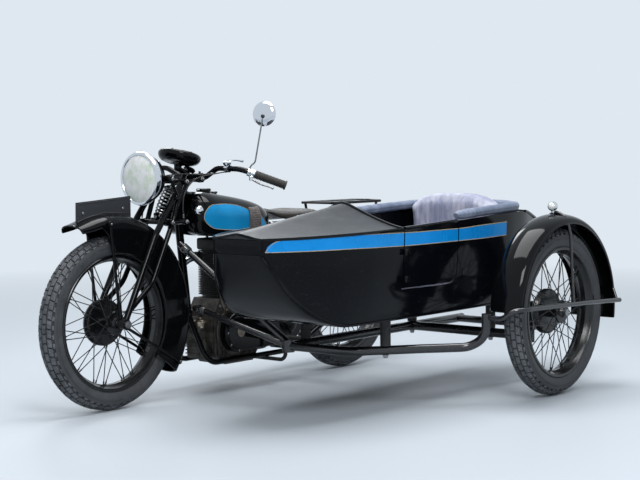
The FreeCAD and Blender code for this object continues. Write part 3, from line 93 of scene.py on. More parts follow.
def colour(name, description, default):
    return FloatVectorProperty(name=name, description=description, default=linear(default), subtype="COLOR", size=3,
                               min=0, max=1)


class WheelSizes(bpy.types.PropertyGroup):
    tyre_radius: length("Tyre radius", "Outside radius over the tread", REAR_AXLE.z)
    tread_depth: length("Tread depth", "Height of the tread blocks", 0.006)
    crown_radius: length("Crown radius", "Radius of the tread across the tyre", 0.044)
    blocks: IntProperty(name="Tread blocks", description="Blocks in each row round the tyre", default=58)
    rim_radius: length("Rim radius", "Outside radius of the rim's flange", 0.256)
    spoke_radius: length("Spoke radius", "Radius of one spoke's wire", 0.0019)
    spokes: IntProperty(name="Spokes", description="Spokes in each wheel, a multiple of four", default=40)


class BodySizes(bpy.types.PropertyGroup):
    lining: length("Lining", "Width of the painted line along the stripe's edges", 0.003)
    bead: length("Bead", "Radius of the half-round beads on the sidecar body", 0.0045)
    pleat: length("Pleat", "Distance between the backrest's sewn channels", 0.026)


class FinishColours(bpy.types.PropertyGroup):
    enamel: colour("Black enamel", "Frame, fork, tank and mudguards", "#08090B")
    body_enamel: colour("Body enamel", "Sidecar side panels", "#07090E")
    deck_enamel: colour("Deck enamel", "Sidecar deck, weathered", "#22252A")
    stripe_blue: colour("Stripe blue", "Stripe along the sidecar", "#058AD9")
    tank_blue: colour("Tank blue", "Side panels of the tank", "#0A85BE")
    lining: colour("Lining", "Thin line round the blue", "#B9A27A")
    leather: colour("Blue leather", "Sidecar seat, backrest and roll", "#9094AE")
    saddle: colour("Saddle leather", "Rider's saddle", "#17130F")
    rubber: colour("Tyre rubber", "Tyres, under their dust", "#15171A")
    dust: colour("Dust", "What lies in the tread", "#A3A6AC")
    lens: colour("Lens", "Headlamp glass", "#DDEBD6")
    casting: colour("Casting", "Crankcase and gearbox, oily", "#56534E")
    chassis: colour("Chassis paint", "Sidecar chassis, worn black", "#17171A")


# What is made once and used by name: finishes, and the trees of Geometry Nodes
FINISHES, TREES = {}, {}


# Node trees
def node(tree, kind, settings=None, inputs=None):
    """Adds a node: settings are its own values, inputs are sockets by name or number, linked or set."""
    made = tree.nodes.new(kind)
    for name, value in (settings or {}).items():
        setattr(made, name, value)
    for key, value in (inputs or {}).items():
        if isinstance(value, bpy.types.NodeSocket):
            tree.links.new(value, made.inputs[key])
        else:
            made.inputs[key].default_value = value
    return made


def nodes_tree(name, sockets):
    """An empty Geometry Nodes tree with a geometry in and out, and named inputs for its sizes."""
    tree = bpy.data.node_groups.new(name, "GeometryNodeTree")
    tree.interface.new_socket("Geometry", in_out="OUTPUT", socket_type="NodeSocketGeometry")
    tree.interface.new_socket("Geometry", in_out="INPUT", socket_type="NodeSocketGeometry")
    for label, kind, default in sockets:
        socket = tree.interface.new_socket(label, in_out="INPUT", socket_type=kind)
        if default is not None:
            socket.default_value = default
    return tree, tree.nodes.new("NodeGroupInput"), tree.nodes.new("NodeGroupOutput")


def grow(piece, tree, **values):
    """Runs a Geometry Nodes tree on a piece, with inputs by name, and keeps the result as its mesh."""
    modifier = piece.modifiers.new(tree.name, "NODES")
    modifier.node_group = tree
    for item in tree.interface.items_tree:
        key = item.name.replace(" ", "_").lower()
        if item.item_type == "SOCKET" and item.in_out == "INPUT" and key in values:
            modifier[item.identifier] = FINISHES[values[key]] if key == "finish" else values[key]
    return baked(piece)


def ending(tree, geometry, material, output):
    """Ends a tree: instances made real, then their material."""
    real = node(tree, "GeometryNodeRealizeInstances", inputs={0: geometry})
    painted = node(tree, "GeometryNodeSetMaterial", inputs={"Geometry": real.outputs[0], "Material": material})
    tree.links.new(painted.outputs[0], output.inputs[0])


def round_an_axle():
    """Copies of a piece, turned evenly about an axle along Y."""
    tree, given, output = nodes_tree("round_an_axle", [
        ("Count", "NodeSocketInt", 12), ("Centre", "NodeSocketVector", (0, 0, 0)),
        ("Start", "NodeSocketFloat", 0.0), ("Finish", "NodeSocketMaterial", None)])
    points = node(tree, "GeometryNodePoints", inputs={"Count": given.outputs["Count"],
                                                      "Position": given.outputs["Centre"]})
    step = node(tree, "ShaderNodeMath", {"operation": "DIVIDE"}, {0: 2 * math.pi, 1: given.outputs["Count"]})
    turn = node(tree, "ShaderNodeMath", {"operation": "MULTIPLY_ADD"}, {
        0: node(tree, "GeometryNodeInputIndex").outputs[0], 1: step.outputs[0], 2: given.outputs["Start"]})
    about = node(tree, "ShaderNodeCombineXYZ", inputs={"Y": turn.outputs[0]})
    copies = node(tree, "GeometryNodeInstanceOnPoints", inputs={
        "Points": points.outputs[0], "Instance": given.outputs["Geometry"], "Rotation": about.outputs[0]})
    ending(tree, copies.outputs[0], given.outputs["Finish"], output)
    return tree


def along_a_line():
    """Copies of a piece, one step apart."""
    tree, given, output = nodes_tree("along_a_line", [
        ("Count", "NodeSocketInt", 10), ("Step", "NodeSocketVector", (0, 0, 0.01)),
        ("Finish", "NodeSocketMaterial", None)])
    line = node(tree, "GeometryNodeMeshLine", inputs={"Count": given.outputs["Count"],
                                                      "Offset": given.outputs["Step"]})
    copies = node(tree, "GeometryNodeInstanceOnPoints", inputs={
        "Points": line.outputs[0], "Instance": given.outputs["Geometry"]})
    ending(tree, copies.outputs[0], given.outputs["Finish"], output)
    return tree


def tree_for(maker):
    """A tree of Geometry Nodes, made the first time that it is asked for."""
    if maker.__name__ not in TREES:
        TREES[maker.__name__] = maker()
    return TREES[maker.__name__]


# Meshes
def put(name, data):
    """A new object in the scene for a mesh, a curve, a lamp or a camera."""
    piece = bpy.data.objects.new(name, data)
    bpy.context.scene.collection.objects.link(piece)
    return piece


def baked(piece):
    """The piece with its modifiers or curve turned into a plain mesh of its own."""
    graph = bpy.context.evaluated_depsgraph_get()
    mesh = bpy.data.meshes.new_from_object(piece.evaluated_get(graph), depsgraph=graph)
    name = piece.name
    bpy.data.objects.remove(piece)
    return put(name, mesh)


def softened(piece, degrees=38):
    """Smooth shading, with edges sharper than the angle kept crisp."""
    shape = bmesh.new()
    shape.from_mesh(piece.data)
    for face in shape.faces:
        face.smooth = True
    for edge in shape.edges:
        if len(edge.link_faces) == 2:
            edge.smooth = edge.calc_face_angle(0) < math.radians(degrees)
    shape.to_mesh(piece.data)
    shape.free()
    return piece


def shell(name, points, faces, material, degrees=38):
    """A mesh from points and faces, its doubles merged, its faces outwards."""
    mesh = bpy.data.meshes.new(name)
    mesh.from_pydata([tuple(point) for point in points], [], faces)
    shape = bmesh.new()
    shape.from_mesh(mesh)
    bmesh.ops.remove_doubles(shape, verts=shape.verts, dist=1e-6)
    bmesh.ops.dissolve_degenerate(shape, edges=shape.edges, dist=1e-7)
    bmesh.ops.recalc_face_normals(shape, faces=shape.faces)
    shape.to_mesh(mesh)
    shape.free()
    mesh.materials.append(FINISHES[material])
    return softened(put(name, mesh), degrees)


def skinned(name, rings, material, closed=True, caps=True, wrap=False, degrees=38):
    """Quads between rings of equally many points. wrap joins the last ring to the first."""
    count = len(rings[0])
    points = [point for ring in rings for point in ring]
    faces = []
    rows = len(rings)
    for i in range(rows if wrap else rows - 1):
        a, b = i * count, (i + 1) % rows * count
        for j in range(count if closed else count - 1):
            k = (j + 1) % count
            faces.append((a + j, a + k, b + k, b + j))
    if caps and closed and not wrap:
        faces.append(tuple(range(count)))
        faces.append(tuple((rows - 1) * count + j for j in range(count)))
    return shell(name, points, faces, material, degrees)


def turned(name, outline, centre, axis, material, steps=96, ring=False, degrees=38):
    """An outline of (along the axis, out from it) in millimetres, turned about the axis."""
    axis = Vector(axis).normalized()
    side = axis.orthogonal().normalized()
    over = axis.cross(side)
    rings = []
    for i in range(steps):
        turn = 2 * math.pi * i / steps
        out = side * math.cos(turn) + over * math.sin(turn)
        rings.append([centre + axis * (a * MM) + out * (r * MM) for a, r in outline])
    return skinned(name, rings, material, closed=ring, caps=False, wrap=True, degrees=degrees)


def disc(name, centre, axis, radius, thickness, material, bevel=1.0, steps=40):
    """A round plate or boss with a small bevel, in millimetres."""
    outline = [(0, 0), (0, radius - bevel), (bevel, radius), (thickness - bevel, radius),
               (thickness, radius - bevel), (thickness, 0)]
    return turned(name, outline, centre, axis, material, steps)


def rod(name, start, end, radius, material, sides=16):
    """A straight round bar between two points."""
    span = end - start
    return disc(name, start, span, radius, span.length / MM, material, bevel=min(0.6, radius * 0.3), steps=sides)


def tube(name, points, radius, material, sides=12, order=3, cyclic=False, radii=None):
    """A round bar or pipe along a smooth route, its radius in millimetres."""
    curve = bpy.data.curves.new(name, "CURVE")
    curve.dimensions = "3D"
    spline = curve.splines.new("NURBS")
    spline.points.add(len(points) - 1)
    for index, point in enumerate(points):
        spline.points[index].co = (*point, 1)
        spline.points[index].radius = radii[index] if radii else 1
    spline.use_cyclic_u = cyclic
    spline.order_u = order
    spline.use_endpoint_u = not cyclic
    spline.resolution_u = 6
    curve.bevel_depth = radius * MM
    curve.bevel_resolution = max(0, sides // 4 - 1)
    curve.use_fill_caps = not cyclic
    piece = baked(put(name, curve))
    piece.data.materials.append(FINISHES[material])
    return softened(piece, 50)


def boxed(name, low, high, material, bevel=2.0, segments=2):
    """A block between two corners, in millimetres from the rear axle, with its edges rounded."""
    shape = bmesh.new()
    bmesh.ops.create_cube(shape, size=1)
    low, high = at(*low), at(*high)
    for vertex in shape.verts:
        vertex.co = Vector([low[i] + (vertex.co[i] + 0.5) * (high[i] - low[i]) for i in range(3)])
    bmesh.ops.bevel(shape, geom=shape.edges[:], offset=bevel * MM, segments=segments, affect="EDGES", profile=0.5)
    bmesh.ops.recalc_face_normals(shape, faces=shape.faces)
    mesh = bpy.data.meshes.new(name)
    shape.to_mesh(mesh)
    shape.free()
    mesh.materials.append(FINISHES[material])
    return softened(put(name, mesh), 30)


def extruded(name, outline, origin, across, up, depth, material, bevel=1.5):
    """A flat outline in millimetres, given a thickness and rounded edges."""
    across, up = Vector(across).normalized(), Vector(up).normalized()
    out = across.cross(up)
    shape = bmesh.new()
    corners = [shape.verts.new(origin + across * (a * MM) + up * (b * MM)) for a, b in outline]
    face = shape.faces.new(corners)
    grown = bmesh.ops.extrude_face_region(shape, geom=[face])
    moved = [item for item in grown["geom"] if isinstance(item, bmesh.types.BMVert)]
    bmesh.ops.translate(shape, verts=moved, vec=out * (depth * MM))
    bmesh.ops.recalc_face_normals(shape, faces=shape.faces)
    if bevel:
        bmesh.ops.bevel(shape, geom=shape.edges[:], offset=bevel * MM, segments=2, affect="EDGES", profile=0.5)
    mesh = bpy.data.meshes.new(name)
    shape.to_mesh(mesh)
    shape.free()
    mesh.materials.append(FINISHES[material])
    return softened(put(name, mesh), 30)


def hexagon(name, centre, axis, across_flats, height, material):
    """A nut or a bolt's head, its top chamfered."""
    r = across_flats / math.sqrt(3)
    return turned(name, [(0, 0), (0, r), (height * 0.8, r), (height, r * 0.82), (height, 0)], centre, axis, material,
                  steps=6, degrees=20)


def joined(name, pieces):
    """Several pieces as one, each part keeping its material."""
    first = pieces[0]
    if len(pieces) > 1:
        with bpy.context.temp_override(active_object=first, selected_editable_objects=pieces):
            bpy.ops.object.join()
    first.name = name
    return first


def placed(piece, body, slot, *nodes):
    """The piece rides on a body and stands for the frame's nodes, which are hidden. The slot is not used."""
    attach(piece, body)
    if nodes:
        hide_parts(*nodes)
    return piece


def fitted(name, pieces, body, slot, *nodes):
    """Several pieces joined and placed as one."""
    return placed(joined(name, pieces), body, slot, *nodes)


def thickened(sheet, depth, offset=0):
    """A sheet given a depth in millimetres: to both sides at offset 0, to its inside at -1."""
    solid = sheet.modifiers.new("sheet", "SOLIDIFY")
    solid.thickness, solid.offset = depth * MM, offset
    return baked(sheet)


def finer(piece, levels=1):
    """The piece with its faces divided and rounded."""
    more = piece.modifiers.new("finer", "SUBSURF")
    more.levels = more.render_levels = levels
    return baked(piece)


def cut(piece, tool, operation="DIFFERENCE"):
    """The piece with a tool cut away from it, or kept only where both are. The tool is used up."""
    modifier = piece.modifiers.new("cut", "BOOLEAN")
    modifier.operation = operation
    modifier.solver = "EXACT"
    modifier.object = tool
    made = baked(piece)
    bpy.data.objects.remove(tool)
    return softened(made)


def faired(stations, x):
    """Reads a smooth value between stations, with no overshoot, as off a boat's lines."""
    stations = sorted(stations)
    xs, ys = [s[0] for s in stations], [s[1] for s in stations]
    if x <= xs[0]:
        return ys[0]
    if x >= xs[-1]:
        return ys[-1]
    slopes = [(ys[i + 1] - ys[i]) / (xs[i + 1] - xs[i]) for i in range(len(xs) - 1)]
    ends = [slopes[0]] + [0 if a * b <= 0 else 2 * a * b / (a + b) for a, b in zip(slopes, slopes[1:])] + [slopes[-1]]
    i = max(k for k in range(len(xs) - 1) if xs[k] <= x)
    width = xs[i + 1] - xs[i]
    u = (x - xs[i]) / width
    return ((2 * u ** 3 - 3 * u ** 2 + 1) * ys[i] + (u ** 3 - 2 * u ** 2 + u) * width * ends[i]
            + (3 * u ** 2 - 2 * u ** 3) * ys[i + 1] + (u ** 3 - u ** 2) * width * ends[i + 1])


def spread(low, high, count):
    """Evenly spaced values, both ends included."""
    return [low + (high - low) * i / (count - 1) for i in range(count)]


def rounded_square(count, power):
    """Points round a square of half-width 1, its corners rounder at a lower power."""
    points = []
    for index in range(count):
        turn = 2 * math.pi * index / count
        a, b = math.cos(turn), math.sin(turn)
        reach = 1 / (abs(a) ** power + abs(b) ** power) ** (1 / power)
        points.append((a * reach, b * reach))
    return points


# Finishes
def finish(name, base, roughness, metallic=0.0, mirror=0.5):
    """A material with its shader: a pattern is linked in by the function that calls this."""
    material = bpy.data.materials.new(name)
    material.use_nodes = True
    tree = material.node_tree
    shader = tree.nodes["Principled BSDF"]
    shader.inputs["Base Color"].default_value = rgba(base)
    shader.inputs["Roughness"].default_value = roughness
    shader.inputs["Metallic"].default_value = metallic
    shader.inputs["Specular IOR Level"].default_value = mirror
    return material, tree, shader


def place_of(tree, stretch=(1, 1, 1)):
    """Object coordinates, stretched."""
    spot = node(tree, "ShaderNodeTexCoord").outputs["Object"]
    return node(tree, "ShaderNodeMapping", inputs={"Vector": spot, "Scale": stretch}).outputs[0]


def noise(tree, size_mm, detail=3.0, rough=0.55, stretch=(1, 1, 1), distortion=0.0):
    """Noise whose spots are about size_mm across."""
    return node(tree, "ShaderNodeTexNoise", inputs={
        "Vector": place_of(tree, stretch), "Scale": 1 / (size_mm * MM), "Detail": detail, "Roughness": rough,
        "Distortion": distortion}).outputs["Fac"]


def stepped(tree, value, low, high, bottom=0.0, top=1.0):
    """Maps a value from low..high to bottom..top, kept inside them."""
    return node(tree, "ShaderNodeMapRange", inputs={"Value": value, "From Min": low, "From Max": high,
                                                    "To Min": bottom, "To Max": top}).outputs[0]


def spots(tree, low, high, *args, **values):
    """A mask of 0 to 1: noise where it lies between low and high."""
    return stepped(tree, noise(tree, *args, **values), low, high)


def mixed(tree, share, first, second):
    """Two colours mixed by a share."""
    made = node(tree, "ShaderNodeMix", {"data_type": "RGBA"}, {"Factor": share})
    for key, value in ((6, first), (7, second)):
        if isinstance(value, bpy.types.NodeSocket):
            tree.links.new(value, made.inputs[key])
        else:
            made.inputs[key].default_value = rgba(value)
    return made.outputs[2]


def tinted(tree, mask, low, high, first, second):
    """Two colours mixed by a mask of 0 to 1, taken as low to high."""
    return mixed(tree, stepped(tree, mask, 0, 1, low, high), first, second)


def bumped(tree, shader, height, depth_mm, strength):
    """Turns a height into bumps this deep on the shader."""
    bump = node(tree, "ShaderNodeBump", inputs={"Strength": strength, "Distance": depth_mm * MM, "Height": height})
    tree.links.new(bump.outputs[0], shader.inputs["Normal"])
    return bump


def link(tree, socket, shader, name):
    tree.links.new(socket, shader.inputs[name])


def roughened(tree, shader, mask, low, high):
    """Roughness from low to high by a mask."""
    link(tree, stepped(tree, mask, 0, 1, low, high), shader, "Roughness")


def stoved_enamel(name, base, wear=0.5, gloss=0.07, mirror=0.5):
    """Stoved enamel, hand-rubbed: deep gloss, with fine dust and faint rubbing that dull it in patches."""
    material, tree, shader = finish(name, base, gloss, mirror=mirror)
    patches = spots(tree, 0.45, 0.72, 90, 4)
    rubbed = spots(tree, 0.62, 0.78, 14, 5, stretch=(0.35, 1, 1))
    grit = spots(tree, 0.73, 0.78, 3.5, 1)
    dusty = tinted(tree, grit, 0, 0.3 * wear, base, "#8B8D90")
    shade = tinted(tree, rubbed, 0, 0.1 * wear, dusty, "#6E7278")
    link(tree, shade, shader, "Base Color")
    roughened(tree, shader, patches, gloss, gloss + 0.1 * wear)
    bumped(tree, shader, noise(tree, 60, 2), 0.35, 0.25)
    return material


def satin_deck(base):
    """Old enamel on the deck, gone satin in the weather, with paler blooms and rubbed streaks."""
    material, tree, shader = finish("deck_enamel", base, 0.42, mirror=0.28)
    bloom = spots(tree, 0.42, 0.7, 130, 5, 0.6)
    streaks = spots(tree, 0.55, 0.8, 24, 5, 0.65, stretch=(0.25, 1, 1))
    grit = spots(tree, 0.6, 0.75, 5, 3)
    greyed = tinted(tree, bloom, 0, 0.5, base, "#3D4145")
    rubbed = tinted(tree, streaks, 0, 0.35, greyed, "#565B60")
    link(tree, tinted(tree, grit, 0, 0.3, rubbed, "#15171A"), shader, "Base Color")
    roughened(tree, shader, bloom, 0.34, 0.55)
    bumped(tree, shader, noise(tree, 4, 2), 0.06, 0.3)
    return material


def brushed_blue(name, base):
    """Blue coach enamel, flatter than the black, with a little fade and small chips."""
    material, tree, shader = finish(name, base, 0.28, mirror=0.22)
    fade = spots(tree, 0.4, 0.7, 160, 4)
    chips = spots(tree, 0.735, 0.75, 6, 3, 0.7)
    pale = tuple(min(1.0, c * 1.25 + 0.015) for c in base)
    faded = tinted(tree, fade, 0, 0.35, base, pale)
    link(tree, mixed(tree, chips, faded, "#1A2A3C"), shader, "Base Color")
    roughened(tree, shader, fade, 0.26, 0.4)
    bumped(tree, shader, noise(tree, 4, 2), 0.05, 0.25)
    return material


def chrome_plate():
    """Chromium plate, bright, with a haze of fine pits."""
    material, tree, shader = finish("chrome_plate", "#D6DADF", 0.07, metallic=1.0)
    pits = spots(tree, 0.68, 0.74, 2.2, 4, 0.7)
    link(tree, tinted(tree, pits, 0, 0.5, "#D6DADF", "#7A7366"), shader, "Base Color")
    link(tree, stepped(tree, noise(tree, 40, 3), 0.4, 0.75, 0.05, 0.2), shader, "Roughness")
    return material


def bare_steel(name="bare_steel", base="#8C8E90", roughness=0.34):
    """Turned or drawn steel, a little dull, with oily brown in its low places."""
    material, tree, shader = finish(name, base, roughness, metallic=1.0)
    stain = spots(tree, 0.5, 0.72, 11, 4, 0.65)
    link(tree, tinted(tree, stain, 0, 0.65, base, "#4B3F33"), shader, "Base Color")
    roughened(tree, shader, stain, roughness, roughness + 0.25)
    bumped(tree, shader, noise(tree, 1.5, 2), 0.04, 0.3)
    return material


def sand_cast(name, base, roughness=0.55, metallic=0.7):
    """Sand-cast alloy: a fine pebble grain, with oil and road dirt in patches."""
    material, tree, shader = finish(name, base, roughness, metallic=metallic)
    dirt = spots(tree, 0.46, 0.66, 38, 5, 0.6)
    oil = spots(tree, 0.55, 0.7, 16, 4, 0.6)
    greasy = tinted(tree, dirt, 0, 0.75, base, "#1E1A16")
    link(tree, tinted(tree, oil, 0, 0.5, greasy, "#2B241C"), shader, "Base Color")
    roughened(tree, shader, oil, roughness, 0.3)
    bumped(tree, shader, noise(tree, 1.4, 3), 0.25, 0.7)
    return material


def rusted_paint(name, base):
    """Gloss paint over steel tube, worn to brown rust in places along the tube."""
    material, tree, shader = finish(name, base, 0.16, mirror=0.75)
    rust = spots(tree, 0.6, 0.7, 30, 6, 0.68)
    fine = spots(tree, 0.5, 0.7, 5, 4, 0.7)
    brown = mixed(tree, fine, "#3F2A1D", "#6A4A32")
    link(tree, tinted(tree, rust, 0, 0.7, base, brown), shader, "Base Color")
    roughened(tree, shader, rust, 0.16, 0.7)
    bumped(tree, shader, noise(tree, 3, 4), 0.2, 0.5)
    return material


def dusty_rubber(name, base, dust, amount):
    """Natural tyre rubber, black when new: grey bloom on it, and pale dust that clings to its low places."""
    material, tree, shader = finish(name, base, 0.72)
    cloud = spots(tree, 0.35, 0.7, 60, 5, 0.62)
    grain = spots(tree, 0.4, 0.75, 2.5, 3, 0.6)
    bloom = tinted(tree, cloud, 0.1, 0.55, base, "#3F4143")
    dusty = node(tree, "ShaderNodeMath", {"operation": "MULTIPLY"}, {0: cloud, 1: grain}).outputs[0]
    link(tree, tinted(tree, dusty, 0.05, amount, bloom, dust), shader, "Base Color")
    roughened(tree, shader, cloud, 0.62, 0.9)
    bumped(tree, shader, grain, 0.12, 0.5)
    return material


def moulded_rubber():
    """Moulded black rubber, matt, paler where hands and knees rub it."""
    material, tree, shader = finish("moulded_rubber", "#171718", 0.62)
    rubbed = spots(tree, 0.5, 0.7, 18, 4)
    link(tree, tinted(tree, rubbed, 0, 0.5, "#171718", "#3A3A39"), shader, "Base Color")
    bumped(tree, shader, noise(tree, 1.2, 2), 0.08, 0.5)
    return material


def worn_leather(name, base, pale, dark, sheen=0.15):
    """Upholstery hide, dyed: pebble grain and creases, its dye rubbed pale and cracked on the high places. On the blue
    leather the near-white pale patches are partly rubbed dye and partly a painted highlight.
    """
    material, tree, shader = finish(name, base, 0.5)
    shader.inputs["Sheen Weight"].default_value = sheen
    cells = node(tree, "ShaderNodeTexVoronoi", {"feature": "DISTANCE_TO_EDGE"}, {
        "Vector": place_of(tree), "Scale": 1 / (2.6 * MM)}).outputs["Distance"]
    grain = stepped(tree, cells, 0.0, 0.16)
    # Pale patches: rubbed dye, and on the blue leather partly a painted highlight.
    rubbed = spots(tree, 0.42, 0.66, 75, 6, 0.62, stretch=(1, 1, 0.5))
    cracks = spots(tree, 0.6, 0.72, 9, 7, 0.75, stretch=(1, 1, 0.35))
    shade = tinted(tree, rubbed, 0, 0.7, base, pale)
    shade = tinted(tree, cracks, 0, 0.5, shade, dark)
    shade = tinted(tree, grain, 0.45, 0, shade, dark)
    link(tree, shade, shader, "Base Color")
    roughened(tree, shader, rubbed, 0.38, 0.62)
    creases = noise(tree, 22, 6, 0.7, stretch=(1, 1, 0.4), distortion=0.6)
    height = node(tree, "ShaderNodeMath", {"operation": "MULTIPLY_ADD"}, {0: creases, 1: 4.0, 2: grain}).outputs[0]
    bumped(tree, shader, height, 0.5, 0.55)
    return material


def fluted_glass(base):
    """Pressed lamp glass, old and milky green, with upright flutes."""
    material, tree, shader = finish("lens_glass", base, 0.14)
    shader.inputs["Transmission Weight"].default_value = 0.12
    shader.inputs["IOR"].default_value = 1.5
    cloudy = spots(tree, 0.38, 0.6, 55, 2)
    link(tree, mixed(tree, cloudy, base, "#FFFFFF"), shader, "Base Color")
    spot = node(tree, "ShaderNodeSeparateXYZ", inputs={0: place_of(tree)})
    wave = node(tree, "ShaderNodeMath", {"operation": "MULTIPLY"}, {0: spot.outputs["Y"], 1: 2 * math.pi / (9 * MM)})
    flute = node(tree, "ShaderNodeMath", {"operation": "SINE"}, {0: wave.outputs[0]}).outputs[0]
    bumped(tree, shader, flute, 0.5, 0.4)
    return material


def clear_glass():
    """Clear window glass over the dial."""
    material, _, shader = finish("dial_glass", (1, 1, 1), 0.03)
    shader.inputs["Transmission Weight"].default_value = 1.0
    shader.inputs["IOR"].default_value = 1.5
    return material


def silvered():
    """The reflector's silvering, gone a little cloudy."""
    material, tree, shader = finish("reflector_silver", "#DDE2DC", 0.2, metallic=1.0)
    link(tree, stepped(tree, noise(tree, 30, 4), 0.35, 0.7, 0.14, 0.4), shader, "Roughness")
    return material


def plain(name, base, roughness=0.5, metallic=0.0, spot_mm=8, spread_by=0.25):
    """A small part's finish: its colour varied a little in spots this wide."""
    material, tree, shader = finish(name, base, roughness, metallic)
    darker = tuple(c * (1 - spread_by) for c in rgba(base)[:3])
    link(tree, mixed(tree, spots(tree, 0.4, 0.65, spot_mm, 4), base, darker), shader, "Base Color")
    bumped(tree, shader, noise(tree, spot_mm / 4, 2), 0.04, 0.3)
    return material


class OUTFIT_OT_finishes(bpy.types.Operator):
    """Mixes the finishes and gives them to the frame's own pieces"""

    bl_idname = "outfit.finishes"
    bl_label = "Mix the finishes"

    def execute(self, context):
        paint = context.scene.outfit_colours
        FINISHES.update({
            "enamel": stoved_enamel("black_enamel", paint.enamel, 0.25, 0.06, 0.17),
            "body": stoved_enamel("body_enamel", paint.body_enamel, 0.5, 0.08, 0.13),
            "wheel": stoved_enamel("wheel_enamel", "#0E0F11", 0.9, 0.22),
            "deck": satin_deck(paint.deck_enamel),
            "stripe": brushed_blue("stripe_blue", paint.stripe_blue),
            "tank_blue": brushed_blue("tank_blue", paint.tank_blue),
            "lining": plain("lining_gold", paint.lining, 0.4),
            "chrome": chrome_plate(),
            "steel": bare_steel(),
            "dark_steel": bare_steel("dark_steel", "#45474A", 0.38),
            "casting": sand_cast("oily_casting", paint.casting),
            "iron": sand_cast("painted_iron", "#1C1C1B", 0.6, 0.4),
            "chassis": rusted_paint("chassis_paint", paint.chassis),
            "rubber": dusty_rubber("tyre_rubber", paint.rubber, paint.dust, 0.2),
            "tread": dusty_rubber("tread_rubber", "#2A2D31", paint.dust, 1.1),
            "black_rubber": moulded_rubber(),
            # The blue leather's near-white pale is partly worn dye and partly a painted highlight from the top light.
            "leather": worn_leather("blue_leather", paint.leather, "#DCDDE6", "#4E5675"),
            "roll": worn_leather("roll_leather", "#5A6984", "#98A2B8", "#323B50"),
            "saddle": worn_leather("saddle_leather", paint.saddle, "#3B332A", "#0B0908", 0.05),
            "lens": fluted_glass(paint.lens),
            "silver": silvered(),
            "clear": clear_glass(),
            "plate": stoved_enamel("plate_enamel", "#26282C", 1.6, 0.35),
            "coil": plain("coil_steel", "#8F9192", 0.28, 0.9, 5),
            "grip": plain("grip_rubber", "#383633", 0.66, 0, 6, 0.4),
            # The knee pads' grey-brown is a painted reflection: they are shiny black rubber.
            "knee": plain("knee_rubber", "#6B6461", 0.7, 0, 14, 0.5),
            "tin": bare_steel("tinned_plate", "#A89C8C", 0.3),
            "brass": plain("brass", "#A88A4E", 0.3, 1.0),
            "dial": plain("dial_white", "#D8D4C6", 0.5),
            "ink": plain("dial_black", "#0C0C0D", 0.4),
            "red_glass": plain("red_glass", "#6E0B0B", 0.1),
        })
        by_slot = {"black_enamel": "enamel", "deck_enamel": "deck", "chassis_paint": "chassis",
                   "cast_aluminium": "casting", "cast_iron": "iron", "chrome": "chrome", "bright_steel": "steel",
                   "spring_steel": "dark_steel", "wheel_enamel": "wheel", "tyre_rubber": "rubber",
                   "black_rubber": "black_rubber", "lamp_glass": "lens", "saddle_leather": "saddle",
                   "blue_leather": "leather"}
        for part in frame["record"]["subparts"]:
            mesh = frame["nodes"][part["node"]].data
            mesh.materials.clear()
            mesh.materials.append(FINISHES[by_slot[part["material_slot"]]])
        return {"FINISHED"}


# Floor, backdrop, light and the camera, which was solved from the wheels' rims in the photograph
CAMERA_AT = at(5217.1, 4169.5, 998.1)
CAMERA_YAW, CAMERA_PITCH, CAMERA_ROLL = (math.radians(a) for a in (219.4545, -3.6839, 0.3887))
FOCAL_PIXELS, IMAGE_WIDTH, SENSOR = 1489.89, 640, 36.0
BACKDROP = "#DFE8F0"


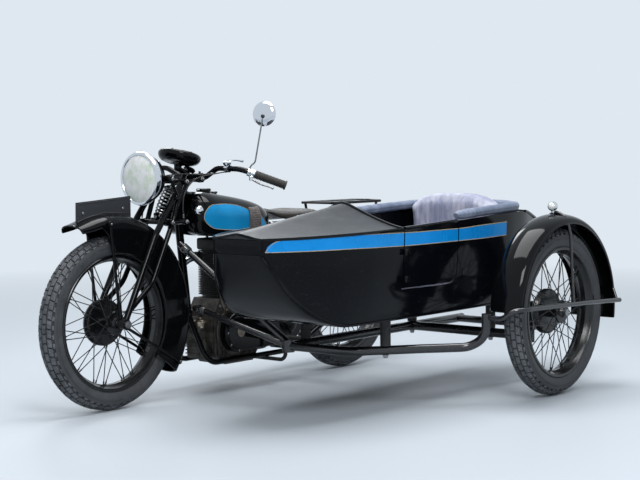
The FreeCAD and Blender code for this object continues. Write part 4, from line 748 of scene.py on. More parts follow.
class OUTFIT_OT_stage(bpy.types.Operator):
    """Makes the floor, the backdrop, the lamps and the camera"""

    bl_idname = "outfit.stage"
    bl_label = "Set the stage"

    def execute(self, context):
        scene = context.scene
        floor = put("stage_floor", bpy.data.meshes.new("stage_floor"))
        shape = bmesh.new()
        bmesh.ops.create_grid(shape, x_segments=1, y_segments=1, size=30)
        shape.to_mesh(floor.data)
        shape.free()
        floor.data.materials.append(self.floor_paint())
        self.sky(scene)
        lamps = [("overhead", (500, 500, 4200), (500, 450, 300), 3.0, 190),
                 ("left_front", (3300, 3600, 3600), (500, 500, 500), 1.6, 110),
                 ("right_rear", (-2200, -3600, 3600), (500, 300, 600), 1.8, 60)]
        for name, place, target, size, power in lamps:
            lamp = bpy.data.lights.new(name, "AREA")
            lamp.shape = "SQUARE"
            lamp.size = size
            lamp.energy = power
            holder = put(name, lamp)
            holder.location = at(*place)
            holder.rotation_euler = (at(*target) - at(*place)).to_track_quat("-Z", "Y").to_euler()
        camera = bpy.data.cameras.new("camera")
        camera.sensor_width = SENSOR
        camera.lens = FOCAL_PIXELS / IMAGE_WIDTH * SENSOR
        camera.clip_end = 100
        holder = put("camera", camera)
        ahead = Vector((math.cos(CAMERA_YAW) * math.cos(CAMERA_PITCH), math.sin(CAMERA_YAW) * math.cos(CAMERA_PITCH),
                        math.sin(CAMERA_PITCH)))
        holder.location = CAMERA_AT
        turn = ahead.to_track_quat("-Z", "Y")
        holder.rotation_mode = "QUATERNION"
        holder.rotation_quaternion = Quaternion(ahead, CAMERA_ROLL) @ turn
        scene.camera = holder
        scene.view_settings.view_transform = "Standard"
        return {"FINISHED"}

    def floor_paint(self):
        """Pale studio floor, which fades into the backdrop some metres off."""
        material, tree, shader = finish("stage_pale", "#B9C1C9", 0.5, mirror=0.3)
        spot = node(tree, "ShaderNodeTexCoord")
        far = node(tree, "ShaderNodeVectorMath", {"operation": "LENGTH"}, {0: spot.outputs["Object"]})
        share = stepped(tree, far.outputs["Value"], 2.2, 6.5)
        seen = self.seen(tree)
        blend = node(tree, "ShaderNodeMath", {"operation": "MULTIPLY"}, {0: share, 1: seen})
        glow = node(tree, "ShaderNodeEmission", inputs={"Color": rgba(BACKDROP), "Strength": 1.0})
        both = node(tree, "ShaderNodeMixShader", inputs={0: blend.outputs[0], 1: shader.outputs[0],
                                                         2: glow.outputs[0]})
        tree.links.new(both.outputs[0], tree.nodes["Material Output"].inputs["Surface"])
        return material

    def seen(self, tree):
        """One where a ray shows the backdrop: straight from the camera, off gloss or through glass."""
        path = node(tree, "ShaderNodeLightPath")
        first = node(tree, "ShaderNodeMath", {"operation": "MAXIMUM"}, {
            0: path.outputs["Is Camera Ray"], 1: path.outputs["Is Glossy Ray"]})
        return node(tree, "ShaderNodeMath", {"operation": "MAXIMUM"}, {
            0: first.outputs[0], 1: path.outputs["Is Transmission Ray"]}).outputs[0]

    def sky(self, scene):
        """The backdrop's colour where it is seen, and a plainer light from all round."""
        world = bpy.data.worlds.new("studio")
        scene.world = world
        world.use_nodes = True
        tree = world.node_tree
        backdrop = node(tree, "ShaderNodeBackground", inputs={"Color": rgba(BACKDROP), "Strength": 1.0})
        light = tree.nodes["Background"]
        light.inputs["Color"].default_value = rgba("#DCE3EA")
        light.inputs["Strength"].default_value = 0.5
        blend = node(tree, "ShaderNodeMixShader", inputs={0: self.seen(tree), 1: light.outputs[0],
                                                          2: backdrop.outputs[0]})
        tree.links.new(blend.outputs[0], tree.nodes["World Output"].inputs["Surface"])


# Wheels
def tyre_outline(sizes):
    """Half the tyre's section in millimetres from its middle plane and its axle: bead, ribbed wall, crown."""
    crown = sizes.crown_radius / MM - sizes.tread_depth / MM
    centre = (sizes.tyre_radius - sizes.crown_radius) / MM
    wall = [(26, 248), (30, 250), (31, 256), (35, 260), (38.2, 266), (40.2, 272), (41.6, 278), (42.4, 284)]
    for r in (288, 291, 294):
        wall += [(42.4, r - 0.9), (43.2, r - 0.4), (43.2, r + 0.4), (42.4, r + 0.9)]
    wall += [(41.6, 300), (40, 305)]
    arc = [(math.sin(math.radians(a)) * crown, centre + math.cos(math.radians(a)) * crown)
           for a in (66, 56, 44, 32, 20, 10)]
    return wall + arc + [(0, centre + crown)]


def tread_block(name, sizes, low, high, length_mm, shift_mm, sweep_mm):
    """One block of the tread: its ends lie at two angles across the crown, and it may slant round the tyre."""
    outer, inner = sizes.crown_radius / MM, (sizes.crown_radius - sizes.tread_depth) / MM - 1.5
    centre = (sizes.tyre_radius - sizes.crown_radius) / MM
    rings = []
    for share in (0.0, 0.5, 1.0):
        across = math.radians(low + (high - low) * share)
        slip = shift_mm + sweep_mm * (share - 0.5)
        inset = 0.8 if share in (0.0, 1.0) else 0.0
        ring = []
        for radius, half in ((inner, length_mm / 2), (outer - 1.0, length_mm / 2), (outer - inset, length_mm / 2 - 1),
                             (outer - inset, 1 - length_mm / 2), (outer - 1.0, -length_mm / 2),
                             (inner, -length_mm / 2)):
            rim = centre + math.cos(across) * radius
            turn = (slip + half) / (centre + outer)
            ring.append(Vector((math.sin(turn) * rim * MM, math.sin(across) * radius * MM,
                                math.cos(turn) * rim * MM)))
        rings.append(ring)
    return skinned(name, rings, "tread", degrees=25)


def spoke_set(sizes, hub_radius, hub_y, rim_y, sweep, first):
    """One spoke with its nipple, from the hub's flange to the rim, as seen from the wheel's own centre."""
    start = spun(hub_radius, hub_y, first)
    end = spun(sizes.rim_radius / MM - 21, rim_y, first + sweep)
    wire = rod("wire", start, end, sizes.spoke_radius / MM, "wheel", 8)
    nipple = rod("nipple", end - (end - start).normalized() * 0.016, end, 3.0, "wheel", 8)
    bend = rod("bend", start, start + Vector((0, -0.006 if hub_y > 0 else 0.006, 0)), 2.4, "wheel", 8)
    return [wire, nipple, bend]


def spoked(name, axle, sizes, drum_side):
    """All the spokes of one wheel: four sets, crossed, turned round the axle."""
    sets = sizes.spokes // 4
    step = 360 / sets
    rows = []
    for side in (1, -1):
        on_drum = side == drum_side
        reach, sweep, hub_y = (84, 26, 22) if on_drum else (39, 62, 34)
        for lean in (1, -1):
            first = step * (0.25 * (side < 0) + 0.5 * (lean < 0))
            rows += spoke_set(sizes, reach, side * (hub_y + 2 * lean), side * 7, lean * sweep, first)
    return grow(joined(name, rows), tree_for(round_an_axle), count=sets, centre=axle, finish="wheel")


SPROCKET_TEETH = 50
RIM_OUTLINE = [(0, 236.5), (9, 236.5), (14, 240), (21, 246), (27.5, 247.4), (31, 249), (31, 256), (33, 258.4),
               (36, 258.4), (38, 256), (38, 251), (36.5, 246.5), (31, 243.5), (24, 241.5), (16, 236), (10, 232.5),
               (0, 232.5)]


def sprocket(axle):
    """The rear wheel's toothed ring, on the drum's face, with the bolts that hold it."""
    corners = 4 * SPROCKET_TEETH
    teeth, bore = (93, 93, 98, 98), (74, 74, 74, 74)
    rings = [[axle + spun(reach[index % 4], y, 360 * index / corners) for index in range(corners)]
             for reach, y in ((teeth, 53.2), (teeth, 56.8), (bore, 56.8), (bore, 53.2))]
    parts = [skinned("toothed_ring", rings, "dark_steel", wrap=True, degrees=25),
             turned("sprocket_seat", [(44, 72), (44, 84), (55, 84), (55, 72)], axle, ACROSS, "wheel", 72, ring=True)]
    for degrees in range(0, 360, 60):
        parts.append(hexagon("sprocket_bolt", axle + spun(79, 56, degrees), ACROSS, 10, 6, "steel"))
    return parts


def wheel(name, axle, body, drum_side, sizes):
    """A tyre with its blocks, a rim, spokes, a hub and a drum."""
    outline = tyre_outline(sizes)
    outline += [(-y, r) for y, r in reversed(outline[:-1])]
    tyre = turned(f"{name}_tyre_wall", outline, axle, ACROSS, "rubber", 160, ring=True, degrees=24)
    pitch = 2 * math.pi * sizes.tyre_radius / MM / sizes.blocks
    rows = []
    block = pitch - 6
    for side in (1, -1):
        for label, low, high, long, shift, sweep in (("centre", 4, 24, block, 0.25 * side, 0),
                                                     ("shoulder", 30, 51, block, 0.5 + 0.25 * side, 4),
                                                     ("edge", 56, 72, block * 0.62, 0.1 * side, 0)):
            rows.append(tread_block(label, sizes, side * low, side * high, long, pitch * shift, side * sweep))
    tread = grow(joined(f"{name}_tread", rows), tree_for(round_an_axle), count=sizes.blocks, centre=axle,
                 finish="tread")
    fitted(f"{name}_tyre_piece", [tyre, tread], body, "tyre_rubber", f"{name}_tyre")
    rim_loop = RIM_OUTLINE + [(-y, r) for y, r in reversed(RIM_OUTLINE[1:-1])]
    parts = [turned("rim", rim_loop, axle, ACROSS, "wheel", 144, ring=True, degrees=30),
             spoked("spokes", axle, sizes, drum_side)]
    flange = [(-48, 9), (-48, 17), (-38, 22), (-37, 44), (-32, 45), (-30, 44), (-29, 26), (-20, 22), (20, 24)]
    drum = [(20, 86), (24, 89), (28, 86.5), (32, 89), (36, 86.5), (40, 89), (44, 89), (45, 86), (45, 80),
            (30, 78), (30, 9)]
    loop = [(drum_side * y, r) for y, r in flange + drum]
    parts.append(turned("hub", loop, axle, ACROSS, "wheel", 72, ring=True, degrees=30))
    if name == "rear":
        parts += sprocket(axle)
    fitted(f"{name}_spoked_wheel", parts, body, "wheel_enamel", f"{name}_wire_wheel")


class OUTFIT_OT_wheels(bpy.types.Operator):
    """Makes the three tyres with their treads, and the spoked wheels"""

    bl_idname = "outfit.wheels"
    bl_label = "Make the wheels"

    def execute(self, context):
        sizes = context.scene.outfit_wheels
        for name, drum_side in (("front", -1), ("rear", 1), ("sidecar", -1)):
            wheel(name, AXLES[name], f"{name}_wheel", drum_side, sizes)
        return {"FINISHED"}


# Mudguards
FRONT_GUARD_SHIFT, GUARD_SHEET = Vector((9, 0, 13)), 1.6


def guard_section(radius, half_width, rise, valance):
    """Half of a domed section, from the middle of the crown to the valance's edge."""
    dome = [(half_width * math.sin(turn), radius - rise * (1 - math.cos(turn))) for turn in spread(0, math.pi / 2, 9)]
    return dome + [(half_width, radius - rise - valance * share) for share in (0.3, 0.65, 1.0)]


def mudguard(name, centre, section_at, start, end, step, wire=3.2, far_section=None):
    """Sheet whose section changes along the wheel, with a wired edge. section_at(angle) gives half a section,
    and far_section the right half where it differs."""
    count = max(3, int((end - start) / step) + 1)
    rings, left, right = [], [], []
    for degrees in spread(start, end, count):
        turn = math.radians(degrees)
        out = Vector((math.cos(turn), 0, math.sin(turn)))
        half = section_at(degrees)
        ring = [(-y, r) for y, r in reversed(far_section or half)] + half[1:]
        rings.append([centre + out * (r * MM) + ACROSS * (y * MM) for y, r in ring])
        left.append(rings[-1][-1])
        right.append(rings[-1][0])
    sheet = skinned(name, rings, "enamel", closed=False, caps=False)
    sheet = softened(thickened(sheet, GUARD_SHEET))
    edges = [tube("edge", line[::2] + ([line[-1]] if len(line) % 2 == 0 else []), wire, "enamel", 8)
             for line in (left, right, rings[0][::2], rings[-1][::2])]
    return joined(name, [sheet] + edges)


class OUTFIT_OT_mudguards(bpy.types.Operator):
    """Makes the three mudguards with their wired edges and rivets"""

    bl_idname = "outfit.mudguards"
    bl_label = "Make the mudguards"

    def execute(self, context):
        front = FRONT_AXLE + FRONT_GUARD_SHIFT * MM

        def front_section(degrees):
            deep = min(1.0, max(0.0, (degrees - 80) / 9))
            deep = deep * deep * (3 - 2 * deep)
            flare = max(0.0, (72 - degrees) / 11)
            return guard_section(400 + 8 * flare ** 2, 60 - 6 * flare, 30 - 12 * flare, 10 + 108 * deep)

        guard = mudguard("front_guard", front, front_section, 64, 216, 2.5)
        stays = []
        for side in (1, -1):
            foot = FRONT_AXLE + ACROSS * side * 0.0647
            for degrees in (84, 211):
                tip = front + spun(366, side * 66, degrees)
                stays.append(tube("stay", [foot, foot.lerp(tip, 0.5), tip], 6, "enamel", 12))
                stays.append(disc("stay_foot", tip - ACROSS * side * 0.003, ACROSS * side, 12, 8, "enamel", 1, 24))
                stays.append(hexagon("stay_bolt", tip + ACROSS * side * 0.005, ACROSS * side, 9, 5, "steel"))
            stays.append(turned("stay_eye", [(-3, 15), (-3, 19), (3, 19), (3, 15)], foot, ACROSS, "enamel", 28,
                                ring=True))
        placed(guard, "steering", "black_enamel", "front_mudguard")
        fitted("front_stays", stays, "steering", "black_enamel", "front_mudguard_stays")
        rear = guard_section(375, 68, 40, 60)
        placed(mudguard("rear_guard", REAR_AXLE, lambda degrees: rear, 30, 196, 4), "outfit", "black_enamel",
               "rear_mudguard")
        open_side, deep_side = guard_section(388, 73, 28, 7), guard_section(388, 75, 50, 68)
        guard = mudguard("side_guard", SIDE_AXLE, lambda degrees: open_side, 5, 188, 3, 3.6, deep_side)
        rivets = [disc("rivet", SIDE_AXLE + spun(325, -76.2, degrees), -ACROSS, 5, 2.2, "enamel", 1.0, 12)
                  for degrees in (88, 120, 150, 176)]
        fitted("side_guard", [guard] + rivets, "outfit", "black_enamel", "sidecar_mudguard")
        return {"FINISHED"}


# Sidecar body: stations along its length, in millimetres
BODY_Y = 660
HALF_WIDTHS = [(-500, 110), (-350, 168), (-200, 215), (-50, 258), (100, 275), (450, 280), (800, 280), (950, 275),
               (1100, 252), (1230, 216), (1330, 172), (1405, 114)]
RAIL = [(-500, 590), (-350, 640), (-200, 690), (-50, 718), (450, 700), (800, 686), (1405, 670)]
BOTTOM = [(-500, 480), (-350, 410), (-200, 368), (-50, 345), (250, 345), (1080, 345), (1178, 367), (1248, 403),
          (1320, 466), (1375, 545), (1405, 612)]
CHINE = [(-500, 90), (-350, 138), (-200, 185), (-50, 228), (100, 248), (450, 255), (950, 252), (1100, 240),
         (1248, 200), (1320, 170), (1375, 146), (1405, 110)]
CREST = [(812, 775), (954, 754), (1125, 730), (1277, 707), (1405, 688)]
TAIL_CREST = [(-500, 612), (-350, 668), (-200, 716), (-70, 735)]
STRIPE_LOW = [(100, 627), (300, 623), (706, 622), (946, 625), (1100, 627), (1405, 627)]
STRIPE_TOP = [(100, 680), (300, 675), (440, 670), (706, 670), (946, 674), (1139, 676), (1300, 676), (1405, 674)]
TAIL_X, NOSE_X, COCKPIT_REAR, COCKPIT_FRONT = -500, 1405, -70, 812
DOOR_REAR, DOOR_FRONT, DOOR_BOTTOM, DOOR_CORNER, DOOR_GAP = 449, 806, 460, 50, 5
COAT, HULL_WALL, DECK_SHEET = 0.5, 9, 5
BELLY, BEND, STRIPE_ROUND = 5, 14, 54


def body_side(x, z, side=1, lift=0.0):
    """A point on the body's side panel, so far out from its skin."""
    top, low = faired(RAIL, x), faired(BOTTOM, x)
    wide, narrow = faired(HALF_WIDTHS, x), faired(CHINE, x)
    share = min(1.0, max(0.0, (z - low) / max(1.0, top - low)))
    belly = BELLY * math.sin(math.pi * share) * min(1.0, (NOSE_X - x) / 200, (x - TAIL_X) / 200)
    y = narrow + (wide - narrow) * share + max(0.0, belly) + lift
    return at(x, BODY_Y + side * y, z)


def body_ring(x):
    """One station of the body's skin, from rail to rail under the bottom."""
    top, low = faired(RAIL, x), faired(BOTTOM, x)
    deep = top - low
    bend = min(BEND, deep * 0.3)
    narrow = faired(CHINE, x)
    side = [body_side(x, low + bend + (deep - bend) * share) for share in spread(1.0, 0.0, 10)]
    corner = []
    for degrees in (22, 45, 68, 90):
        turn = math.radians(degrees)
        corner.append(at(x, BODY_Y + narrow - bend * (1 - math.cos(turn)), low + bend * (1 - math.sin(turn))))
    keel = [at(x, BODY_Y + (narrow - bend) * share, low) for share in (0.66, 0.33)]
    half = side + corner + keel
    mirror = [Vector((p.x, 2 * at(0, BODY_Y, 0).y - p.y, p.z)) for p in reversed(half)]
    return half + [at(x, BODY_Y, low)] + mirror


def door_tool(margin):
    """The prism that cuts the doorway out of the side: square in front, rounded at the rear foot."""
    low, front, rear = DOOR_BOTTOM - margin, DOOR_FRONT + margin, DOOR_REAR - margin
    corner = [(rear + DOOR_CORNER * (1 - math.sin(turn)), low + DOOR_CORNER * (1 - math.cos(turn)))
              for turn in spread(0, math.pi / 2, 9)]
    outline = [(front, 800), (front, low)] + corner + [(rear, 800)]
    rings = [[at(x, BODY_Y + y, z) for x, z in outline] for y in (170, 420)]
    return skinned("door_tool", rings, "body", degrees=20)


def stripe_top(x):
    """The stripe's upper edge: under the rail, rounded down to its lower edge at the nose."""
    rail, low = min(faired(STRIPE_TOP, x), faired(RAIL, x) - 2), faired(STRIPE_LOW, x) + 0.5
    back = NOSE_X - 8 - x
    if back >= STRIPE_ROUND:
        return rail
    if back <= 0:
        return low
    return low + (rail - low) * math.sqrt(1 - (1 - back / STRIPE_ROUND) ** 2)


def stripe_low(x):
    """The stripe's lower edge."""
    return faired(STRIPE_LOW, x)


def stripe_for(name, start, end, line):
    """The blue stripe between two stations, a thin coat on the body's side, with a line along both its edges."""
    columns = [[body_side(x, z, 1, 0.9) for z in spread(stripe_low(x), stripe_top(x), 5)]
               for x in spread(start, end, max(3, int((end - start) / 6) + 1))]
    parts = [softened(thickened(skinned(name, columns, "stripe", closed=False, caps=False), COAT))]
    for edge, z_of in (("lower", stripe_low), ("upper", stripe_top)):
        points = [body_side(x, z_of(x), 1, 0.8) for x in spread(start, end, max(4, int((end - start) / 18)))]
        parts.append(tube(f"{name}_{edge}", points, line, "lining", 8))
    return joined(name, parts)


class OUTFIT_OT_body(bpy.types.Operator):
    """Makes the sidecar body, its door, stripe, beads and decks"""

    bl_idname = "outfit.body"
    bl_label = "Make the sidecar body"

    def execute(self, context):
        sizes = context.scene.outfit_body
        bead = sizes.bead / MM
        stations = spread(TAIL_X, NOSE_X - 4, 64) + [NOSE_X]
        hull = skinned("hull", [body_ring(x) for x in stations], "body", closed=False, caps=False)
        for index in (0, -1):
            ring = body_ring(stations[index])
            cap = shell("cap", ring, [tuple(range(len(ring)))], "body")
            hull = joined("hull", [hull, cap])
        shape = bmesh.new()
        shape.from_mesh(hull.data)
        bmesh.ops.remove_doubles(shape, verts=shape.verts, dist=1e-5)
        bmesh.ops.recalc_face_normals(shape, faces=shape.faces)
        shape.to_mesh(hull.data)
        shape.free()
        hull = thickened(hull, HULL_WALL, -1)
        door = put("door", hull.data.copy())
        hull = cut(hull, door_tool(0))
        door = cut(door, door_tool(-DOOR_GAP), "INTERSECT")
        beads = []
        for side in (1, -1):
            chine = [body_side(x, faired(BOTTOM, x) + 7, side, 0.5) for x in spread(-480, NOSE_X - 3, 50)]
            beads.append(tube("chine_bead", chine, bead * 0.8, "body", 8))
        nose = [at(NOSE_X + 1, BODY_Y + y, 612) for y in spread(-110, 110, 5)]
        beads.append(tube("nose_bead", nose, bead * 0.8, "body", 8))
        for y in (-112, 112):
            beads.append(tube("nose_edge", [at(NOSE_X, BODY_Y + y, z) for z in (612, 640, 668)], 2.5, "body", 8))
        fitted("sidecar_body", [hull] + beads, "outfit", "black_enamel", "sidecar_hull")
        for name, start, end, body in (("stripe_front", DOOR_FRONT + 1, NOSE_X - 8, "outfit"),
                                       ("stripe_rear", 100, DOOR_REAR - 1, "outfit"),
                                       ("stripe_door", DOOR_REAR + 6, DOOR_FRONT - 6, "sidecar_door")):
            placed(stripe_for(name, start, end, sizes.lining / MM / 2), body, "black_enamel")
        self.door_parts(door)
        self.decks(bead)
        return {"FINISHED"}

    def door_parts(self, door):
        """The door with its top bead and hinge leaves."""
        top = [body_side(x, faired(RAIL, x) + 1, 1, -4) for x in spread(DOOR_REAR + 8, DOOR_FRONT - 8, 9)]
        parts = [door, tube("door_bead", top, 7, "enamel", 10)]
        hinge = at(808.5, 947, 0)
        for height in (500, 600):
            parts.append(rod("knuckle", hinge + UP * (height - 11) * MM, hinge + UP * (height + 11) * MM, 5.5,
                             "enamel", 14))
            parts.append(boxed("leaf", (779, 939, height - 11), (806, 943.5, height + 11), "enamel", 1.2))
        fitted("door_skin", parts, "sidecar_door", "black_enamel", "door_panel")

    def decks(self, bead):
        """The peaked deck before the cockpit, and the tail's low one, with their beads."""
        rows = spread(-1.0, 1.0, 33)

        def arch(share):
            u = math.sqrt(share * share + 0.0036) - 0.06
            return max(0.0, 1 - min(1.0, u / (math.sqrt(1.0036) - 0.06))) ** 1.32

        def dropped(ring, height):
            return [ring, [Vector((p.x, p.y, height * MM)) for p in ring]]

        def deck(name, start, end, crest):
            rings = []
            for x in spread(start, end, 40):
                half, rail, top = faired(HALF_WIDTHS, x) + 1.5, faired(RAIL, x), faired(crest, x)
                rings.append([at(x, BODY_Y + half * v, rail + (top - rail) * arch(abs(v))) for v in rows])
            sheet = skinned(name, rings, "deck", closed=False, caps=False, degrees=60)
            parts = [softened(thickened(sheet, DECK_SHEET, -1), 60)]
            for side in (0, -1):
                line = [ring[side] for ring in rings]
                parts.append(tube("rail_bead", line[::3] + [line[-1]], bead * 1.25, "enamel", 8))
            return parts, rings

        front, rings = deck("front_deck", COCKPIT_FRONT + 3, NOSE_X, CREST)
        front.append(tube("scuttle_bead", rings[0], 7.5, "enamel", 10))
        front.append(tube("nose_rail", rings[-1][::4], bead, "enamel", 8))
        front.append(skinned("nose_face", dropped(rings[-1], 668), "deck", closed=False, caps=False))
        fitted("front_deck", front, "outfit", "deck_enamel", "sidecar_deck")
        tail, rings = deck("tail_deck", TAIL_X, COCKPIT_REAR - 2, TAIL_CREST)
        tail.append(skinned("tail_face", dropped(rings[0], 588), "deck", closed=False, caps=False))
        tail.append(tube("cockpit_bead", rings[-1], 5, "enamel", 10))
        fitted("tail_deck", tail, "outfit", "deck_enamel", "sidecar_tail_deck")


# Padded pieces
CLOTH_STIFFNESS, CLOTH_FRAMES = 12, 20


def swelled(piece, voxel, pressure, cap_mm):
    """Remeshes a closed form and lets cloth under pressure fill it out, each point moving no more than the cap."""
    remesh = piece.modifiers.new("remesh", "REMESH")
    remesh.mode = "VOXEL"
    remesh.voxel_size = voxel
    piece = baked(piece)
    rest = [vertex.co.copy() for vertex in piece.data.vertices]
    cloth = piece.modifiers.new("cloth", "CLOTH")
    cloth.settings.use_pressure = True
    cloth.settings.uniform_pressure_force = pressure
    cloth.settings.effector_weights.gravity = 0
    cloth.settings.tension_stiffness = CLOTH_STIFFNESS
    cloth.settings.compression_stiffness = CLOTH_STIFFNESS
    scene = bpy.context.scene
    for number in range(1, CLOTH_FRAMES + 1):
        scene.frame_set(number)
    graph = bpy.context.evaluated_depsgraph_get()
    moved = [vertex.co.copy() for vertex in piece.evaluated_get(graph).data.vertices]
    piece.modifiers.clear()
    scene.frame_set(1)
    for vertex, old, new in zip(piece.data.vertices, rest, moved):
        step = new - old
        if step.length > cap_mm * MM:
            step = step.normalized() * cap_mm * MM
        vertex.co = old + step
    return piece


def smoothed(piece, times):
    """The piece with its points evened out, so many times over."""
    even = piece.modifiers.new("even", "SMOOTH")
    even.iterations = times
    return baked(piece)


def pressed(piece, depth_at):
    """Moves each point along its normal by a depth in millimetres that its place and normal give."""
    piece.data.update()
    moves = [depth_at(vertex.co, vertex.normal) for vertex in piece.data.vertices]
    normals = [vertex.normal.copy() for vertex in piece.data.vertices]
    for vertex, normal, depth in zip(piece.data.vertices, normals, moves):
        vertex.co += normal * depth * MM
    piece.data.update()
    return piece


def groove(distance, width):
    """How deep a sewn channel pulls in at this distance from its middle, 0 to 1."""
    return math.exp(-(distance / width) ** 2)


BACK_HALF, BACK_TOP, BACK_SHOULDER, BACK_FOOT = 232, 812, 745, 366


def back_height(y):
    """The backrest's top edge: arched, lower towards its rounded shoulders."""
    share = min(1.0, abs(y) / BACK_HALF)
    return BACK_SHOULDER + (BACK_TOP - BACK_SHOULDER) * (1 - share ** 3.2)


class OUTFIT_OT_seats(bpy.types.Operator):
    """Fills the sidecar's backrest, seat and padded roll"""

    bl_idname = "outfit.seats"
    bl_label = "Fill the sidecar's seats"

    def execute(self, context):
        sizes = context.scene.outfit_body
        self.backrest(sizes)
        self.squab()
        self.roll()
        return {"FINISHED"}

    def backrest(self, sizes):
        """A pleated backrest with an arched top, leaning on the cockpit's rear."""
        half = 222
        outline = [(-196, BACK_FOOT)] + [(y, back_height(y) - 8) for y in spread(-half, half, 25)]
        outline += [(y, BACK_FOOT) for y in [196] + spread(150, -150, 7)]
        rings = []
        for x, shrink in ((12, 16), (18, 4), (40, 0), (72, 0), (86, 3), (92, 14)):
            ring = []
            for y, z in outline:
                ring.append(at(x, BODY_Y + y * (1 - shrink / half), z - shrink if z > 500 else z + shrink * 0.5))
            rings.append(ring)
        piece = swelled(skinned("backrest", rings, "leather", degrees=180), 0.0065, 5.0, 14)
        piece = smoothed(piece, 5)
        pitch = sizes.pleat / MM
        middle = at(50, BODY_Y, 600)

        def depth(spot, normal):
            y = (spot.y - middle.y) / MM
            front = max(0.0, normal.x) * min(1.0, max(0.0, (spot.z / MM - 372) / 30))
            near = (y + pitch / 2) % pitch - pitch / 2
            rim = min(1.0, max(0.0, (back_height(y) - 34 - spot.z / MM) / 16)) * (abs(y) < 190)
            over = max(0.0, normal.z) * 0.4 * (abs(y) < 190)
            creases = 0.7 * math.sin(spot.z * 61 + y * 0.11) * math.sin(spot.z * 23 + 1.3)
            return front * (2.2 - 5.5 * groove(near, 4.2)) * max(rim, 0.0) - 3 * over * groove(near, 4) + creases * 0.6

        piece = pressed(piece, depth)
        piece = softened(finer(piece), 180)
        fitted("backrest_cushion", [piece], "outfit", "blue_leather", "sidecar_backrest")

    def squab(self):
        """The seat's cushion, its top crowned, with sewn channels along it."""
        low, high = (128, -226, 362), (472, 226, 474)
        middle, reach = (low[0] + high[0]) / 2, (high[0] - low[0]) / 2
        rings = [[at(middle + a * (reach - shrink), BODY_Y + b * (high[1] - shrink), z)
                  for a, b in rounded_square(40, 6)]
                 for z, shrink in ((low[2], 14), (low[2] + 12, 2), (high[2] - 16, 0), (high[2] - 6, 6),
                                   (high[2] - 4, 24))]
        piece = smoothed(swelled(skinned("squab", rings, "leather", degrees=180), 0.0075, 4.0, 12), 4)

        def depth(spot, normal):
            y = (spot.y - at(0, BODY_Y, 0).y) / MM
            near = (y + 30) % 60 - 30
            return -5.0 * max(0.0, normal.z) * groove(near, 4) if abs(y) < 200 else 0.0

        piece = pressed(piece, depth)
        placed(softened(piece, 180), "outfit", "blue_leather", "sidecar_seat").name = "seat_cushion"

    def roll(self):
        """The padded roll round the cockpit: a stuffed tube with puckers and a seam on its inner side."""
        rear, half = COCKPIT_REAR + 30, 258

        def z(x):
            return faired(RAIL, x) + 19.5

        route = [at(DOOR_REAR - 10, BODY_Y + half, z(450) - 2), at(420, BODY_Y + half, z(430)),
                 at(330, BODY_Y + half, z(330)), at(200, BODY_Y + half, z(200)), at(60, BODY_Y + half - 2, z(60)),
                 at(rear + 20, BODY_Y + half - 10, z(rear)), at(rear - 3, BODY_Y + half - 60, z(rear) + 3),
                 at(rear - 4, BODY_Y + 100, z(rear) + 8), at(rear - 4, BODY_Y - 100, z(rear) + 8),
                 at(rear - 3, BODY_Y - half + 60, z(rear) + 3), at(rear + 20, BODY_Y - half + 10, z(rear)),
                 at(60, BODY_Y - half + 2, z(60)), at(200, BODY_Y - half, z(200)), at(500, BODY_Y - half, z(500)),
                 at(770, BODY_Y - half, z(770)), at(792, BODY_Y - half, z(790) - 2)]
        radii = [0.55] + [1.0] * (len(route) - 2) + [0.55]
        piece = tube("cockpit_roll_pad", route, 19.5, "roll", 24, radii=radii)
        piece = finer(piece, 2)

        def depth(spot, normal):
            along = spot.x + 0.7 * spot.y
            pucker = math.sin(along * 260 + 2.1 * math.sin(along * 31)) * (0.5 + 0.5 * math.sin(along * 17))
            fold = math.sin(along * 83 + normal.z * 2) * 0.6
            inner = groove(normal.z + 0.2, 0.16) * 1.6
            return 0.7 * pucker + 0.8 * fold - inner

        piece = softened(pressed(piece, depth), 180)
        placed(piece, "outfit", "blue_leather", "cockpit_roll")


# Front end: fork, spring, lamp, dial, mirror, grips, levers, cables and plate
STEER_X, STEER_Z = 1032, 780
RAKE = math.radians(29)
HEAD_AXIS = Vector((-math.sin(RAKE), 0, math.cos(RAKE)))
LAMP_X, LAMP_Z = 1211, 870
POD_X, POD_Z, POD_TILT = 1022, 947, math.radians(15)
SPRING_FOOT, SPRING_HEAD = (1136, 0, 722), (1075, 0, 827)
FORK_HEAD, FORK_LINK = (1078, 856), (1160, 700)
CLAMP_X, CLAMP_Z = 942, 868
BAR_KNEE, BAR_END = (952, 262, 904), (838, 391, 840)


def on_steering(along, y=0, ahead=0):
    """A point so far up the steering axis from its middle, to the side and ahead of it, in millimetres."""
    forward = Vector((math.cos(RAKE), 0, math.sin(RAKE)))
    return at(STEER_X, y, STEER_Z) + (HEAD_AXIS * along + forward * ahead) * MM


def barrel_spring(name, foot, head, radius, wire, turns):
    """A coil spring that is widest in its middle and closed at its ends."""
    low, high = at(*foot), at(*head)
    axis = (high - low).normalized()
    across = axis.cross(ACROSS).normalized()
    side = axis.cross(across)
    points, count = [], turns * 16
    for index in range(count + 1):
        share = index / count
        turn = 2 * math.pi * turns * share
        ease = share - 0.022 * math.sin(2 * math.pi * share)
        girth = radius * (0.72 + 0.28 * math.sin(math.pi * share))
        spot = low + (high - low) * ease
        points.append(spot + (across * math.cos(turn) + side * math.sin(turn)) * girth * MM)
    return tube(name, points, wire, "coil", 10)


def cable(name, points):
    """A control cable's black outer casing with a ferrule at each end."""
    parts = [tube(name, [at(*point) for point in points], 2.6, "black_rubber", 8)]
    for end, inner in ((points[0], points[1]), (points[-1], points[-2])):
        start = at(*end)
        way = (at(*inner) - start).normalized()
        parts.append(rod("ferrule", start, start + way * 0.014, 3.7, "steel", 12))
    return joined(name, parts)


